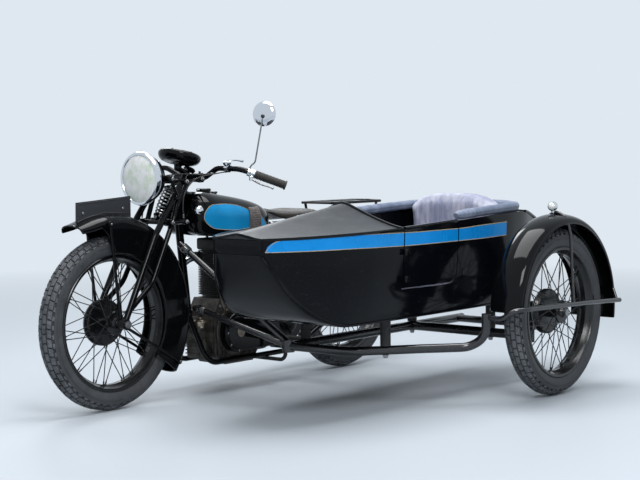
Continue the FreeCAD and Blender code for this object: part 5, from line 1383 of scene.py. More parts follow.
class OUTFIT_OT_front(bpy.types.Operator):
    """Makes the fork's spring, the lamp, the dial, the bars' fittings, the cables and the front plate"""

    bl_idname = "outfit.front"
    bl_label = "Make the front end"

    def execute(self, context):
        self.fork_details()
        self.headlamp()
        self.pod()
        self.controls()
        self.mirror_parts()
        self.cables()
        self.plate()
        return {"FINISHED"}

    def fork_details(self):
        """Barrel spring with its seats, and the link bolts with their nuts."""
        parts = [barrel_spring("fork_coil", SPRING_FOOT, SPRING_HEAD, 23.5, 3.4, 9)]
        axis = (at(*SPRING_HEAD) - at(*SPRING_FOOT)).normalized()
        parts.append(rod("spring_core", at(*SPRING_FOOT), at(*SPRING_HEAD), 11, "enamel", 20))
        for spot, way in ((SPRING_FOOT, -1), (SPRING_HEAD, 1)):
            parts.append(turned("spring_seat", [(-5, 0), (-5, 21), (-3, 24), (1, 24), (3, 19), (3, 0)],
                                at(*spot), axis * way, "enamel", 28))
        fitted("fork_spring_set", parts, "steering", "spring_steel", "fork_spring")
        bolts = []
        head_ends = [at(FORK_HEAD[0], 0, FORK_HEAD[1]), at(FORK_LINK[0], 0, FORK_LINK[1]),
                     on_steering(94, 0, 6), on_steering(-94, 0, 6)]
        for spot, half in zip(head_ends, (92, 95, 92, 95)):
            for side in (1, -1):
                end = spot + ACROSS * side * half * MM
                bolts.append(hexagon("link_nut", end, ACROSS * side, 15, 8, "steel"))
                bolts.append(disc("link_end", end + ACROSS * side * 0.008, ACROSS * side, 5, 5, "steel", 0.8, 16))
        damper = turned("damper_knob", [(-8, 0), (-8, 7), (2, 7), (4, 22), (9, 25), (14, 22), (17, 8), (18, 0)],
                        on_steering(128), HEAD_AXIS, "enamel", 40)
        fitted("fork_fittings", bolts + [damper], "steering", "bright_steel")

    def headlamp(self):
        """Deep shell with two ears, chrome rim, silvered bowl, bulb and fluted glass."""
        centre = at(LAMP_X, 0, LAMP_Z)
        shell_line = [(-70, 0), (-69, 18), (-63, 40), (-50, 62), (-32, 80), (-12, 91), (4, 96), (18, 97), (20, 94),
                      (6, 90), (-8, 85), (-10, 0)]
        body = turned("lamp_bowl", shell_line, centre, ALONG, "enamel", 96, degrees=40)
        rim = turned("lamp_rim", [(4, 97), (6, 100), (11, 102.5), (19, 104), (27, 103.5), (32, 101), (34, 96),
                                  (33, 91.5), (31, 90), (29, 92), (22, 95), (5, 95.5)], centre, ALONG,
                     "chrome", 96, ring=True, degrees=35)
        bowl = turned("reflector", [(-6, 12)] + [(-6 + 34 * (r / 91) ** 2, r) for r in (25, 40, 55, 70, 82, 91)],
                      centre, ALONG, "silver", 64, degrees=60)
        bulb = turned("bulb", [(22, 0), (21, 5), (16, 9), (10, 10), (3, 8), (-2, 5.5), (-8, 5.5), (-8, 0)],
                      centre, ALONG, "clear", 24, degrees=60)
        ears = []
        for side in (1, -1):
            spot = at(LAMP_X - 40, side * 108, LAMP_Z)
            ears.append(turned("ear_boss", [(-24, 0), (-24, 15), (-4, 14), (0, 11), (0, 0)], spot, ACROSS * side,
                               "enamel", 24))
            ears.append(hexagon("ear_nut", spot, ACROSS * side, 13, 7, "steel"))
            boss = at(1122, side * 88, 798)
            ears.append(tube("ear_arm", [spot - ACROSS * side * 0.006, at(1160, side * 100, 846),
                                         at(1132, side * 90, 812), boss], 7, "enamel", 12))
            ears.append(turned("arm_clip", [(-6, 0), (-6, 13), (5, 13), (7, 11), (7, 0)], boss, ACROSS * side,
                               "enamel", 24))
        screw = hexagon("rim_screw", centre + Vector((19, 0, 102)) * MM, UP, 6, 6, "chrome")
        fitted("headlamp", [body, rim, bowl, bulb, screw] + ears, "steering", "black_enamel", "headlamp_shell")
        rings, spokes = [], 128
        for radius, x in ((0.01, 43), (20, 42.6), (45, 41), (65, 38), (80, 34.5), (90.5, 30)):
            ring = []
            for index in range(spokes):
                turn = 2 * math.pi * index / spokes
                ring.append(centre + Vector((x, radius * math.cos(turn), radius * math.sin(turn))) * MM)
            rings.append(ring)
        glass = skinned("headlamp_lens", rings, "lens", caps=False, degrees=60)
        placed(softened(thickened(glass, 3, -1), 50), "steering", "lamp_glass", "headlamp_glass")

    def pod(self):
        """The flat drum above the lamp, with a rounded rim and a plain dial turned up to the rider."""
        axis = Vector((-math.sin(POD_TILT), 0, math.cos(POD_TILT)))
        centre = at(POD_X, 0, POD_Z)
        body = turned("pod_body", [(-22, 0), (-22, 40), (-21, 56), (-17, 70), (-10, 79), (-1, 84), (8, 86), (15, 84),
                                   (20, 78), (21, 71), (18, 66), (12, 64), (12, 0)], centre, axis, "enamel",
                      84, degrees=35)
        dial = turned("dial", [(14, 0), (14, 63), (11, 63), (11, 0)], centre, axis, "dial", 48)
        across, side = axis.cross(ACROSS).normalized(), ACROSS
        parts = [body, dial]
        for index in range(21):
            turn = math.radians(-130 + 13 * index)
            way = across * -math.cos(turn) + side * math.sin(turn)
            long = 11 if index % 5 == 0 else 6
            start = centre + axis * 0.0144 + way * (59 - long) * MM
            parts.append(rod("mark", start, start + way * long * MM, 0.8, "ink", 6))
        needle = across * -math.cos(math.radians(-128)) + side * math.sin(math.radians(-128))
        parts.append(rod("needle", centre + axis * 0.016 - needle * 0.010, centre + axis * 0.016 + needle * 0.046, 1.0,
                         "ink", 8))
        parts.append(disc("hub", centre + axis * 0.0145, axis, 6, 4, "dark_steel", 1, 20))
        parts.append(turned("pod_glass", [(22, 0), (21.5, 35), (19.6, 67), (18, 67), (19.8, 35), (20, 0)], centre, axis,
                            "clear", 48, degrees=60))
        for degrees in (20, 100, 160, 220, 300):
            turn = math.radians(degrees)
            spot = centre + axis * 0.019 + (across * math.cos(turn) + side * math.sin(turn)) * 0.0745
            parts.append(disc("rim_screw", spot, axis, 4, 4, "steel", 1, 12))
        parts.append(turned("pod_neck", [(-40, 0), (-40, 13), (-30, 16), (-24, 26), (-21, 34), (-21, 0)], centre, axis,
                            "enamel", 28))
        fitted("instrument_pod_set", parts, "steering", "black_enamel", "instrument_pod")

    def controls(self):
        """Ribbed grips, levers with their clamps, and the bar's clips."""
        grips, levers = [], []
        for side in (1, -1):
            knee, end = (at(x, side * y, z) for x, y, z in (BAR_KNEE, BAR_END))
            way = (end - knee).normalized()
            start = end - way * 0.122
            outline = [(-2, 0), (-2, 13.5)]
            for rib in range(20):
                x = 1 + rib * 5.9
                outline += [(x, 14.6), (x + 1.3, 16.8), (x + 3.3, 16.8), (x + 4.6, 14.6)]
            outline += [(121, 18), (124, 19), (127, 17), (128, 0)]
            grips.append(turned("grip", outline, start, way, "grip", 36, degrees=30))
            levers += self.lever(start, way)
        fitted("grip_pair", grips, "steering", "black_rubber", "handlebar_grips")
        fitted("lever_pair", levers, "steering", "chrome", "hand_levers")
        clips = []
        for side in (1, -1):
            clips.append(turned("bar_clip", [(-14, 12), (-12, 19), (0, 20), (12, 19), (14, 12)],
                                at(CLAMP_X, side * 34, CLAMP_Z), ACROSS, "enamel", 32))
            clips.append(hexagon("clip_nut", at(CLAMP_X, side * 34, CLAMP_Z + 18), UP, 10, 8, "steel"))
            spot = at(952, side * 196, 906)
            clips.append(turned("control_clip", [(-9, 11.4), (-8, 16), (8, 16), (9, 11.4)], spot, ACROSS,
                                "chrome", 28))
            clips.append(turned("control_body", [(-8, 0), (-8, 13), (-2, 17), (5, 17), (8, 12), (8, 0)],
                                spot + Vector((0.004, 0, 0.020)), UP, "chrome", 32))
            arm = [spot + Vector((4, 0, 28)) * MM, spot + Vector((-8, side * 20, 32)) * MM,
                   spot + Vector((-16, side * 46, 31)) * MM, spot + Vector((-20, side * 62, 27)) * MM]
            clips.append(tube("control_arm", arm, 3.2, "chrome", 8, radii=[1.3, 1, 1, 1.6]))
        fitted("bar_clips", clips, "steering", "chrome")

    def lever(self, start, way):
        """One hand lever: a clamp, its perch and a flat curved blade ending in a ball."""
        front = Vector((1, 0, -0.55)) - way * way.dot(Vector((1, 0, -0.55)))
        front.normalize()
        root = start - way * 0.010
        pivot = root + front * 0.028
        parts = [turned("lever_clamp", [(-9, 11.5), (-8, 17), (0, 18), (8, 17), (9, 11.5)], root, way, "chrome", 28),
                 rod("perch", root + front * 0.012, pivot, 6, "chrome", 14),
                 disc("pivot", pivot - UP * 0.008, UP, 8, 16, "chrome", 1, 20)]
        blade = [pivot, pivot + way * 0.016 + front * 0.006, pivot + way * 0.042 + front * 0.012,
                 pivot + way * 0.066 + front * 0.010, pivot + way * 0.086 + front * 0.008,
                 pivot + way * 0.094 + front * 0.011]
        parts.append(tube("blade", blade, 3.8, "steel", 12, radii=[1.3, 1.15, 1, 0.95, 0.9, 1.35]))
        return parts

    def mirror_parts(self):
        """A round mirror on a thin steel stalk, its back turned to the front."""
        centre = at(905, 345, 1116)
        face = Vector((math.cos(math.radians(18)), math.sin(math.radians(18)), 0.05)).normalized()
        bowl = turned("mirror_bowl", [(11, 0), (10.6, 16), (8.2, 32), (4.5, 41), (0, 46), (-3, 48.5), (-6.5, 47.5),
                                      (-6, 44)], centre, face, "chrome", 64, degrees=50)
        glass = turned("mirror_glass", [(-3, 0), (-3, 45), (-5, 45), (-5, 0)], centre, face, "silver", 48)
        way = (at(*BAR_END) - at(*BAR_KNEE)).normalized()
        foot = at(*BAR_END) - way * 0.1475
        knee = foot + Vector((-6, 26, 36)) * MM
        ball = centre + face * 0.010 - UP * 0.010
        stalk = [foot + UP * 0.010, foot + Vector((-2, 8, 27)) * MM, knee, knee + (ball - knee) * 0.16,
                 knee + (ball - knee) * 0.6, ball]
        arm = tube("mirror_stalk", stalk, 3.2, "steel", 12)
        clamp = turned("mirror_clamp", [(-6, 11.4), (-5.5, 16), (5.5, 16), (6, 11.4)], foot, way, "chrome", 24)
        boss = turned("mirror_boss", [(-4, 0), (-4, 8), (3, 8), (6, 5), (6, 0)], ball, face, "dark_steel", 20)
        fitted("mirror_set", [bowl, glass, arm, clamp, boss], "steering", "chrome", "mirror")

    def cables(self):
        """Brake, decompressor and lamp cables looping from the bar to the fork and the lamp."""
        runs = [
            [(930, -284, 880), (985, -236, 862), (1040, -120, 858), (1108, -104, 800), (1150, -100, 640),
             (1232, -104, 520), (1330, -104, 420)],
            [(950, -196, 894), (990, -150, 900), (1050, -100, 905), (1120, -60, 890), (1158, -30, 872)],
            [(950, 196, 894), (992, 150, 884), (1040, 104, 870), (1096, 100, 820), (1108, 100, 760), (1100, 98, 716)],
            [(950, 120, 888), (990, 100, 880), (1050, 60, 886), (1110, 20, 882), (1148, 6, 872)],
        ]
        parts = [cable(f"cable_{index}", run) for index, run in enumerate(runs)]
        fitted("steering_cables", parts, "steering", "black_rubber")

    def plate(self):
        """The bare front number plate's raised border, and the two studs that hold it."""
        edge = [(1300, 741), (1296, 800), (1554, 784), (1557, 718), (1500, 735), (1420, 748), (1350, 743)]
        parts = []
        for side in (1, -1):
            line = [at(x, side * 3.2, z) for x, z in edge]
            parts.append(tube("plate_bead", line, 1.8, "plate", 8, order=2, cyclic=True))
            for x, z in ((1330, 760), (1530, 748)):
                parts.append(disc("plate_stud", at(x, side * 2.6, z), ACROSS * side, 5, 3, "steel", 1, 14))
        fitted("plate_border", parts, "steering", "black_enamel")
        mesh = frame["nodes"]["front_plate"].data
        mesh.materials.clear()
        mesh.materials.append(FINISHES["plate"])


# Tank, saddle and engine
TANK = [(536, 34, 655, 694), (580, 78, 640, 736), (640, 104, 632, 760), (740, 119, 632, 782), (850, 122, 632, 800),
        (935, 118, 636, 812), (985, 104, 645, 806), (1010, 84, 658, 790)]
PANEL_TOP = [(735, 728), (751, 738), (811, 756), (887, 763), (950, 762), (990, 757)]
PANEL_LOW = [(735, 664), (758, 661), (830, 657), (917, 664), (950, 668), (990, 676)]
TAIL_TOP = [(600, 662), (618, 675), (640, 693), (664, 712)]
PANEL_FRONT, PANEL_ROUND, PANEL_MIDDLE = 990, 52, 714
TUNNEL_X, TUNNEL_Z, TUNNEL_SLOPE = 500, 655, 0.2994


def tank_sizes(x):
    """Half the width, the bottom, the top, and the roundings of the tank's upper and lower edges."""
    half, low, top = (faired([(row[0], row[index]) for row in TANK], x) for index in (1, 2, 3))
    return half, low, top, min(half * 0.8, (top - low) * 0.55), min(16, (top - low) * 0.2)


def tank_side(x, z, lift=0.0, side=1):
    """A point on the tank's side at this height."""
    half, low, top, upper, lower = tank_sizes(x)
    over, under = z - (top - upper), low + lower - z
    y = half
    if over > 0:
        y = half - upper + math.sqrt(max(0.0, upper ** 2 - over ** 2))
    if under > 0:
        y = half - lower + math.sqrt(max(0.0, lower ** 2 - under ** 2))
    return at(x, side * (y + lift), z)


def tank_ring(x, inset=0.0):
    """One station of the tank, with the tunnel for the frame's top tube."""
    half, low, top, upper, lower = tank_sizes(x)
    tube_z = TUNNEL_Z + (x - TUNNEL_X) * TUNNEL_SLOPE
    crown = min(tube_z + 22, top - 10)
    ring = [(0, crown), (14, crown - 3), (23, crown - 15), (23, low), (half - lower, low)]
    for degrees in spread(-70, 0, 5):
        turn = math.radians(degrees)
        ring.append((half - lower * (1 - math.cos(turn)), low + lower * (1 + math.sin(turn))))
    ring.append((half, (low + lower + top - upper) / 2))
    for degrees in spread(0, 90, 13):
        turn = math.radians(degrees)
        ring.append((half - upper * (1 - math.cos(turn)), top - upper * (1 - math.sin(turn))))
    ring.append((0, top))
    middle = (low + top) / 2
    shrunk = [(y * (1 - inset / half), z + (middle - z) * 2 * inset / (top - low)) for y, z in ring]
    mirror = [(-y, z) for y, z in reversed(shrunk[1:-1])]
    return [at(x, y, z) for y, z in shrunk + mirror]


def panel_edge(x, line):
    """The blue panel's edge: the line, rounded into the panel's front end."""
    back = PANEL_FRONT - x
    if back >= PANEL_ROUND:
        return faired(line, x)
    share = math.sqrt(max(0.0, 1 - (1 - max(0.0, back) / PANEL_ROUND) ** 2))
    return PANEL_MIDDLE + (faired(line, x) - PANEL_MIDDLE) * share


class OUTFIT_OT_tank(bpy.types.Operator):
    """Makes the saddle tank with its blue panels, gold lining, knee grips and fillers"""

    bl_idname = "outfit.tank"
    bl_label = "Make the tank"

    def execute(self, context):
        ends = [(536, 9), (537.5, 4), (541, 1), (546, 0)], [(1000, 0), (1005, 1.5), (1008.5, 5), (1010, 11)]
        rings = [tank_ring(*end) for end in ends[0]] + [tank_ring(x) for x in spread(552, 994, 46)]
        body = skinned("tank", rings + [tank_ring(*end) for end in ends[1]], "enamel", degrees=50)
        room = turned("head_room", [(-260, 0), (-260, 55), (260, 55), (260, 0)], on_steering(0), HEAD_AXIS, "enamel",
                      64)
        parts = [cut(body, room)]
        for side in (1, -1):
            parts += self.panel(side)
        parts += self.fillers()
        fitted("tank", parts, "outfit", "black_enamel", "fuel_tank")
        self.knee_grips()
        return {"FINISHED"}

    def panel(self, side):
        """The blue panel with its rounded front, the blue tail behind the knee grip, and the gold round both."""
        columns = []
        front = [PANEL_FRONT - PANEL_ROUND * (1 - math.cos(math.radians(a))) for a in spread(0, 90, 12)]
        for x in sorted(front + spread(735, PANEL_FRONT - PANEL_ROUND - 8, 22)):
            columns.append([tank_side(x, z, 0.8, side) for z in spread(panel_edge(x, PANEL_LOW),
                                                                       panel_edge(x, PANEL_TOP), 13)])
        tail = []
        for x in spread(606, 664, 9):
            tail.append([tank_side(x, z, 0.8, side) for z in spread(656, faired(TAIL_TOP, x) - 2, 7)])
        parts = []
        for name, rows in (("panel", columns), ("tail_panel", tail)):
            sheet = skinned(name, rows, "tank_blue", closed=False, caps=False, degrees=60)
            parts.append(softened(thickened(sheet, 0.6), 60))
        edge = [row[-1] for row in columns] + [row[0] for row in reversed(columns[:-1])]
        parts.append(tube("panel_lining", edge, 1.3, "lining", 8))
        parts.append(tube("tail_lining", [row[-1] for row in tail], 1.3, "lining", 8))
        return parts

    def fillers(self):
        """The hinged filler cap, the oil filler beside it, and a row of small bolts along the ridge."""
        neck = at(886, 0, tank_sizes(886)[2] - 3)
        parts = [turned("filler", [(0, 0), (0, 31), (4, 31), (5, 28), (9, 28), (10, 30), (17, 30), (20, 27), (21, 0)],
                        neck, UP, "enamel", 40, degrees=30),
                 boxed("filler_latch", (850, -7, 816), (917, 7, 821), "chrome", 1.5)]
        small = at(831, 0, tank_sizes(831)[2] - 2)
        parts.append(turned("oil_filler", [(0, 0), (0, 15), (7, 15), (8, 18), (13, 18), (15, 15), (15, 0)], small, UP,
                            "dark_steel", 28, degrees=30))
        for x in (700, 722, 745):
            parts.append(disc("stud", at(x, 0, tank_sizes(x)[2] - 1), UP, 6, 6, "steel", 1.5, 16))
        tap = at(996, 78, 741)
        parts.append(turned("side_fitting", [(-12, 0), (-12, 10), (4, 12), (6, 17), (12, 18), (16, 15), (18, 8),
                                             (18, 0)], tap, Vector((0.55, 0.8, 0.1)), "chrome", 32, degrees=50))
        return parts

    def knee_grips(self):
        """Moulded rubber pads on the tank's sides, ribbed across, their grey-brown colour a painted reflection on black
        rubber.
        """
        pads = []
        for side in (1, -1):
            rows = [[tank_side(x, z, 4.6, side) for z in spread(657, 744, 12)] for x in spread(670, 744, 11)]
            pad = thickened(skinned("pad", rows, "knee", closed=False, caps=False, degrees=60), 8)
            edge = pad.modifiers.new("edge", "BEVEL")
            edge.width, edge.segments = 3 * MM, 3
            pads.append(softened(baked(pad), 40))
            for z in spread(668, 733, 8):
                line = [tank_side(x, z, 8.4, side) for x in spread(677, 737, 6)]
                pads.append(tube("rib", line, 1.9, "knee", 8))
        fitted("knee_pads", pads, "outfit", "black_rubber", "knee_grips")


SADDLE = [(285, 97.5, 670, 720), (330, 130, 666, 728), (405, 114, 666, 724), (474, 65, 684, 722),
          (552, 32.5, 718, 734)]


class OUTFIT_OT_saddle(bpy.types.Operator):
    """Makes the rider's sprung leather saddle"""

    bl_idname = "outfit.saddle"
    bl_label = "Make the saddle"

    def execute(self, context):
        rings = []
        for x, inset in [(286, 8), (289, 3), (296, 0)] + [(x, 0) for x in spread(306, 534, 26)] + [(544, 1), (550, 4)]:
            half, low, top = (faired([(row[0], row[index]) for row in SADDLE], x) for index in (1, 2, 3))
            half -= inset
            sag = 7 * math.exp(-((x - 375) / 70) ** 2)
            over = [(half * v, top - inset - sag * (1 - v * v) - 13 * abs(v) ** 3.4) for v in spread(-1, 1, 21)]
            skirt = [(half + 1.2, top - inset - 24 if top - low > 30 else top - inset - 14), (half - 2, low + 1)]
            under = [(half * v * 0.9, low + min(22, (top - low) * 0.5) * (1 - v ** 4)) for v in spread(0.92, -0.92, 9)]
            ring = over + skirt + under + [(-y, z) for y, z in reversed(skirt)]
            rings.append([at(x, y, z) for y, z in ring])
        piece = skinned("saddle_top", rings, "saddle", degrees=180)
        piece = softened(finer(piece), 180)
        placed(piece, "outfit", "saddle_leather", "saddle")
        parts = []
        for side in (1, -1):
            foot = (340, side * 86, 574.6)
            head = (340, side * 86, 664)
            parts.append(barrel_spring("saddle_coil", foot, head, 20, 3.2, 6))
            parts.append(rod("core", at(*foot), at(*head), 5, "dark_steel", 14))
            for spot, way in ((foot, 1), (head, -1)):
                parts.append(disc("seat", at(*spot), UP * way, 21, 3, "dark_steel", 0.8, 28))
        fitted("saddle_spring_pair", parts, "outfit", "spring_steel", "saddle_springs")
        rivets = []
        for turn in spread(-66, 66, 7):
            x, y = 303 - 6 * math.cos(math.radians(turn)), 108 * math.sin(math.radians(turn)) / 0.92
            z = faired([(row[0], row[3]) for row in SADDLE], x)
            rivets.append(turned("rivet", [(-3, 0), (-3, 4.5), (0, 4.5), (1.5, 3), (2, 0)], at(x, y * 0.78, z - 5), UP,
                                 "brass", 14))
        fitted("saddle_rivets", rivets, "outfit", "bright_steel")
        return {"FINISHED"}


CRANK, GEARBOX = (800, 245), (505, 265)
CHASSIS_Y, CHASSIS_Z = 460, 225
OUTER_PLATE, INNER_PLATE, PLATE_DEPTH, ROLLER = (4.6, 4.4), (3.2, 4.2), 1.2, (5.8, 2.6)
CHAIN_REAR, CHAIN_FRONT, CHAIN_Y, CHAIN_PITCH = (0, 330, 101), (505, 265, 42.3), 55, 12.7
CASE_FACE, CHAINCASE_FACE, CASE_BOLTS = 71.5, 117.6, range(20, 380, 36)


class OUTFIT_OT_engine(bpy.types.Operator):
    """Makes the finned cylinder and the castings, pipes and bolts round the crankcase"""

    bl_idname = "outfit.engine"
    bl_label = "Make the engine"

    def execute(self, context):
        self.cylinder()
        self.crankcase()
        self.small_units()
        self.chaincase()
        return {"FINISHED"}

    def cylinder(self):
        """Barrel, close fins with rounded corners, rocker box, pushrod tubes and the spark plug."""
        outline = [(a * 73.4, b * 73.4) for a, b in rounded_square(48, 3.6)]
        fin = extruded("fin", outline, Vector(), ALONG, ACROSS, 2.6, "iron", 0.7)
        fins = grow(fin, tree_for(along_a_line), count=27, step=(0, 0, 0.007), finish="iron")
        fins.data.transform(Matrix.Translation(at(CRANK[0], 0, 392)))
        parts = [fins, turned("barrel", [(0, 0), (0, 65), (196, 65), (196, 0)], at(CRANK[0], 0, 380.5), UP, "iron", 56),
                 turned("base", [(0, 0), (0, 62), (7, 62), (9, 58), (9, 0)], at(CRANK[0], 0, 380.5), UP, "iron", 56),
                 boxed("rocker_box", (738, -52, 576), (880, 56, 622), "iron", 8, 3)]
        for x in (762, 838):
            for y in (-30, 30):
                parts.append(hexagon("head_nut", at(x, y, 621), UP, 12, 7, "steel"))
        for x in (788, 814):
            parts.append(rod("pushrod_tube", at(x, -79, 352), at(x, -70, 586), 7.5, "chrome", 18))
        plug = at(812, 62, 584)
        way = Vector((0.1, 0.85, 0.5)).normalized()
        parts.append(hexagon("plug_hex", plug, way, 18, 10, "steel"))
        parts.append(turned("plug_body", [(0, 6), (4, 7), (20, 5.5), (24, 4), (24, 0)], plug + way * 0.010, way,
                            "dial", 16))
        fitted("cylinder", parts, "outfit", "cast_iron", "engine_cylinder")

    def crankcase(self):
        """On the case's own block: the joint's flange with its bolts, ribs, the front drum with its cap, pipes."""
        x, z = CRANK
        parts = []
        for side, bolts in ((1, ()), (-1, CASE_BOLTS)):
            face = side * CASE_FACE
            ring = [(0, 84), (0, 96), (5, 99), (9, 97), (9, 84)]
            parts.append(turned("case_ring", ring, at(x, face, z), ACROSS * side, "casting", 72, ring=True))
            for degrees in bolts:
                spot = at(x, face + side * 9, z) + spun(91, 0, degrees)
                parts.append(hexagon("case_bolt", spot, ACROSS * side, 10, 6, "steel"))
            for rx in (672, 700, 728, 858, 886, 908):
                low, high = sorted((face, face + side * 7))
                parts.append(boxed("rib", (rx, low, 150), (rx + 5, high, 330), "casting", 1.2))
        parts.append(turned("drum", [(-50, 0), (-50, 40), (-46, 45), (40, 45), (46, 41), (46, 0)], at(928, 0, 252),
                            ACROSS, "casting", 48))
        parts.append(boxed("sump", (880, -48, 140), (948, 52, 222), "casting", 9, 3))
        for rz in (158, 172, 186, 200):
            parts.append(boxed("sump_rib", (890, -50, rz), (952, 54, rz + 4), "casting", 1))
        cap = at(945, 26, 284)
        parts.append(turned("front_cap", [(-16, 0), (-16, 25), (0, 25), (1, 28), (7, 29), (10, 27), (12, 20), (16, 17),
                                          (17, 0)], cap, UP, "tin", 40, degrees=35))
        parts.append(hexagon("cap_nut", cap + UP * 0.017, UP, 12, 7, "tin"))
        parts.append(disc("drain", at(800, 0, 112), -UP, 13, 6, "steel", 1, 20))
        parts.append(tube("oil_pipe", [at(842, 76, 322), at(862, 84, 340), at(880, 78, 392), at(862, 60, 470),
                                       at(858, 50, 560), at(850, 40, 585)], 3.4, "tin", 10))
        parts.append(hexagon("pipe_nut", at(842, 74, 318), Vector((0.4, 0.2, 0.9)), 11, 9, "tin"))
        for spot in ((904, 58, 312), (874, 70, 352), (880, 66, 300), (912, 52, 204)):
            parts.append(hexagon("stud_nut", at(*spot), Vector((0.5, 0.86, 0)), 11, 8, "steel"))
        fitted("crankcase_details", parts, "outfit", "cast_aluminium")

    def small_units(self):
        """The carburettor's bowl, banjo and knurled top, and the dynamo's end rings and strap."""
        body = at(692, -20, 516)
        parts = [turned("mixing_body", [(-2, 0), (-2, 15), (2, 19), (14, 19), (16, 21.5), (24, 21.5), (26, 19),
                                        (54, 19), (56, 22), (66, 22), (68, 18), (68, 0)], body, UP, "casting", 40,
                        degrees=30),
                 turned("float_bowl", [(0, 0), (0, 13), (3, 18.5), (42, 18.5), (44, 19), (48, 19), (50, 14), (52, 6),
                                       (58, 5), (58, 0)], at(692, -56, 500), UP, "casting", 36, degrees=30),
                 boxed("float_arm", (686, -56, 505), (698, -20, 516), "casting", 2),
                 turned("bellmouth", [(-2, 14), (4, 17), (52, 17.4), (62, 17.5), (66, 18), (66, 13), (6, 12)],
                        at(660, -20, 545), ALONG, "casting", 40, ring=True),
                 hexagon("jet_nut", at(692, -20, 500), UP, 14, 14, "brass"),
                 hexagon("float_union", at(692, -56, 493), UP, 13, 8, "brass")]
        for x in (681, 703):
            parts.append(hexagon("flange_nut", at(722, -20 + (x - 692) * 1.6, 545), ALONG, 10, 6, "brass"))
        fitted("mixing_chamber", parts, "outfit", "cast_aluminium", "carburettor")
        spot = at(690, 0, 415.3)
        loops = [(-78, 0), (-78, 18), (-74, 20), (-70, 20), (-69, 32), (-66, 34.5), (-50, 34.5), (-49, 33.4),
                 (48, 33.4), (49, 34.8), (66, 34.8), (70, 32), (70, 0)]
        unit = [turned("dynamo_shell", loops, spot, ACROSS, "iron", 56, degrees=30),
                turned("dynamo_strap", [(-8, 34), (-8, 35.6), (8, 35.6), (8, 34)], spot, ACROSS, "steel", 48,
                       ring=True)]
        for degrees in (40, 160, 280):
            unit.append(disc("end_screw", spot + spun(24, 70, degrees), ACROSS, 3.6, 3, "steel", 0.8, 12))
        fitted("dynamo_unit", unit, "outfit", "cast_iron", "dynamo")

    def chaincase(self):
        """The tin primary case's screws and its clutch dome, and the gearbox's cover, nuts and kick-start."""
        parts = []
        for (x, z), radius, first in ((GEARBOX, 91, 100), (CRANK, 77, -80)):
            for degrees in range(first, first + 200, 40):
                spot = at(x, 118, z) + spun(radius, 0, degrees)
                parts.append(disc("case_screw", spot, ACROSS, 4.2, 3.4, "steel", 1, 12))
        x, z = GEARBOX
        parts.append(turned("clutch_dome", [(0, 0), (0, 62), (3, 60), (8, 46), (11, 20), (12, 0)],
                            at(x, CHAINCASE_FACE, z), ACROSS, "enamel", 56, degrees=60))
        parts.append(turned("inspection_cap", [(0, 0), (0, 22), (3, 22), (5, 17), (6, 0)],
                            at(CRANK[0], CHAINCASE_FACE, CRANK[1]), ACROSS, "tin", 36))
        for degrees in range(0, 360, 60):
            spot = at(x, -95.5, z) + spun(54, 0, degrees)
            parts.append(hexagon("cover_bolt", spot, -ACROSS, 10, 6, "steel"))
        kick = [at(x, -100, z), at(486, -112, 250), at(430, -118, 300), at(392, -120, 352), at(376, -122, 380)]
        parts.append(tube("kick_crank", kick, 8, "steel", 14, radii=[1.5, 1.2, 1, 0.9, 0.95]))
        parts.append(rod("kick_tread", at(376, -118, 380), at(376, -172, 384), 9, "black_rubber", 20))
        parts.append(disc("kick_boss", at(x, -92, z), -ACROSS, 17, 18, "steel", 2, 28))
        fitted("transmission_details", parts, "outfit", "bright_steel")


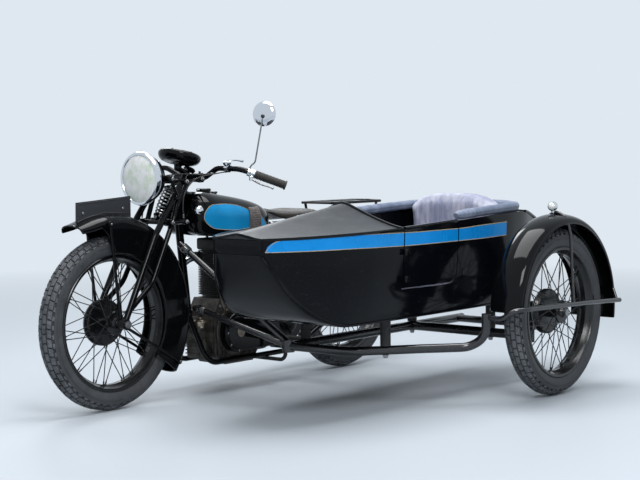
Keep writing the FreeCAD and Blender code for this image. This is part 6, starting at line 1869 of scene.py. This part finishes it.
class OUTFIT_OT_fittings(bpy.types.Operator):
    """Makes the sidecar's lamp, the tail lamp, the drive chain and the chassis's clamps"""

    bl_idname = "outfit.fittings"
    bl_label = "Make the lamps, chain and clamps"

    def execute(self, context):
        self.side_lamp()
        self.tail_lamp()
        self.chain()
        self.clamps()
        return {"FINISHED"}

    def side_lamp(self):
        """A small chrome ball lamp with a clear front, on a stem from the guard's crown."""
        centre = at(106, 1153, 748)
        turns = [math.radians(degrees) for degrees in spread(-84, 22, 16)]
        ball = [(-19, 0)] + [(19 * math.sin(turn), 19 * math.cos(turn)) for turn in turns]
        ball += [(9, 18.6), (11, 18.4), (12, 16)]
        parts = [turned("lamp_ball", ball, centre, ALONG, "chrome", 48, degrees=50),
                 turned("lamp_glass", [(10, 16.4), (14, 14), (17, 8), (18, 0), (10, 0)], centre, ALONG, "lens", 40,
                        degrees=60),
                 rod("stem", at(106, 1153, 719.5), at(106, 1153, 731), 7, "chrome", 24),
                 turned("stem_foot", [(0, 0), (0, 15), (3, 14), (5, 8), (5, 0)], at(106, 1153, 718.6), UP,
                        "enamel", 28)]
        fitted("side_lamp", parts, "outfit", "chrome", "sidecar_lamp")

    def tail_lamp(self):
        """The tail lamp's red glass, its rim and the plate's studs, on the frame's own bracket."""
        spot = at(-444, 0, 610)
        parts = [turned("tail_rim", [(-3, 20), (-3, 24.4), (4, 24.8), (6, 22), (5, 20)], spot, -ALONG,
                        "chrome", 40, ring=True),
                 turned("tail_glass", [(0, 21), (5, 19), (9, 12), (10, 0), (0, 0)], spot, -ALONG, "red_glass", 36,
                        degrees=60)]
        for y, z in ((-70, 560), (70, 560), (-70, 470), (70, 470)):
            parts.append(disc("plate_stud", at(-412, y, z), -ALONG, 4, 3, "steel", 1, 14))
        fitted("tail_glass_set", parts, "outfit", "lamp_glass")

    def chain(self):
        """The drive chain, outer and inner plates on rollers, laid round its two sprockets."""
        (x0, z0, r0), (x1, z1, r1) = CHAIN_REAR, CHAIN_FRONT
        span = math.hypot(x1 - x0, z1 - z0)
        lean, tilt = math.atan2(z1 - z0, x1 - x0), math.acos((r0 - r1) / span)
        arcs = ((x0, z0, r0, spread(lean + tilt, lean + 2 * math.pi - tilt, 60)),
                (x1, z1, r1, spread(lean - tilt, lean + tilt, 24)))
        points = [at(x + math.cos(a) * r, CHAIN_Y, z + math.sin(a) * r) for x, z, r, turns in arcs for a in turns]
        lengths = [(b - a).length for a, b in zip(points, points[1:] + points[:1])]
        count = int(sum(lengths) / (CHAIN_PITCH * MM) / 2) * 2
        step = sum(lengths) / count
        pins, gone, index = [], 0.0, 0
        for number in range(count):
            goal = number * step
            while gone + lengths[index] < goal:
                gone += lengths[index]
                index += 1
            pins.append(points[index].lerp(points[(index + 1) % len(points)], (goal - gone) / lengths[index]))
        verts, faces = [], []

        def prism(near, far):
            base, sides = len(verts), len(near)
            verts.extend(near + far)
            faces.extend([tuple(range(base, base + sides)), tuple(range(base + sides, base + 2 * sides))])
            for a in range(sides):
                b = (a + 1) % sides
                faces.append((base + a, base + b, base + sides + b, base + sides + a))

        for number, (pin, ahead) in enumerate(zip(pins, pins[1:] + pins[:1])):
            way = (ahead - pin).normalized()
            up = way.cross(ACROSS)
            half, out = OUTER_PLATE if number % 2 else INNER_PLATE
            for side in (1, -1):
                ring = [end + (way * math.cos(turn) + up * math.sin(turn)) * sign * out * MM
                        for end, sign in ((pin, -1), (ahead, 1)) for turn in spread(-math.pi / 2, math.pi / 2, 5)]
                prism([point + ACROSS * side * half * MM for point in ring],
                      [point + ACROSS * side * (half + PLATE_DEPTH) * MM for point in ring])
            prism(*([pin + ACROSS * y * MM + (way * math.cos(turn) + up * math.sin(turn)) * ROLLER[1] * MM
                     for turn in spread(0, math.pi * 1.75, 8)] for y in (-ROLLER[0], ROLLER[0])))
        mesh = bpy.data.meshes.new("chain_links")
        mesh.from_pydata([tuple(point) for point in verts], [], faces)
        shape = bmesh.new()
        shape.from_mesh(mesh)
        bmesh.ops.recalc_face_normals(shape, faces=shape.faces)
        shape.to_mesh(mesh)
        shape.free()
        mesh.materials.append(FINISHES["dark_steel"])
        placed(softened(put("chain_links", mesh), 30), "outfit", "bright_steel", "drive_chain")

    def clamps(self):
        """Two-bolt clamps and eye bolts where the chassis's struts meet the motorcycle's frame and the body."""
        parts = []
        for x, y, r in ((800, CHASSIS_Y, 19), (780, 832, 17), (96, CHASSIS_Y, 19), (96, 855, 19)):
            parts.append(disc("washer", at(x, y, CHASSIS_Z - r + 1.5), -UP, 13, 4, "steel", 0.8, 24))
            parts.append(hexagon("mount_nut", at(x, y, CHASSIS_Z - r - 2), -UP, 17, 10, "steel"))
        for near, far_x in (((970, 22, 352), 905), ((415, 94, 138), 415), ((385, 92, 566), 250),
                            ((1046, 18, 612), 890)):
            start = at(*near)
            way = (at(far_x, CHASSIS_Y, CHASSIS_Z) - start).normalized()
            side = way.cross(UP).normalized()
            parts.append(turned("stay_socket", [(20, 12.6), (21, 18), (52, 18), (56, 15), (57, 12.6)], start, way,
                                "chassis", 24))
            for along in (29, 45):
                spot = start + way * along * MM
                parts.append(rod("clamp_bolt", spot - side * 0.022, spot + side * 0.022, 3.4, "steel", 12))
                parts.append(hexagon("clamp_nut", spot + side * 0.0195, side, 11, 6, "steel"))
        fitted("chassis_clamps", parts, "outfit", "bright_steel")


class OUTFIT_PT_panel(bpy.types.Panel):
    """Sizes and colours of the outfit, and a button for each group of pieces"""

    bl_idname = "OUTFIT_PT_panel"
    bl_label = "Sidecar outfit"
    bl_space_type = "VIEW_3D"
    bl_region_type = "UI"
    bl_category = "Outfit"

    def draw(self, context):
        for title, group in (("Wheels", context.scene.outfit_wheels), ("Body", context.scene.outfit_body),
                             ("Colours", context.scene.outfit_colours)):
            box = self.layout.box()
            box.label(text=title)
            for name in group.bl_rna.properties.keys():
                if name not in ("rna_type", "name"):
                    box.prop(group, name)
        for operator in OPERATORS:
            self.layout.operator(operator.bl_idname)


OPERATORS = (OUTFIT_OT_finishes, OUTFIT_OT_wheels, OUTFIT_OT_mudguards, OUTFIT_OT_body, OUTFIT_OT_seats,
             OUTFIT_OT_front, OUTFIT_OT_tank, OUTFIT_OT_saddle, OUTFIT_OT_engine,
             OUTFIT_OT_fittings, OUTFIT_OT_stage)
CLASSES = (WheelSizes, BodySizes, FinishColours, *OPERATORS, OUTFIT_PT_panel)


def register():
    for cls in CLASSES:
        bpy.utils.register_class(cls)
    bpy.types.Scene.outfit_wheels = PointerProperty(type=WheelSizes)
    bpy.types.Scene.outfit_body = PointerProperty(type=BodySizes)
    bpy.types.Scene.outfit_colours = PointerProperty(type=FinishColours)


def unregister():
    for name in ("outfit_colours", "outfit_body", "outfit_wheels"):
        delattr(bpy.types.Scene, name)
    for cls in reversed(CLASSES):
        bpy.utils.unregister_class(cls)


def main():
    """Makes every group of pieces in order."""
    register()
    for operator in OPERATORS:
        family, name = operator.bl_idname.split(".")
        getattr(getattr(bpy.ops, family), name)()


if __name__ == "__main__":
    main()
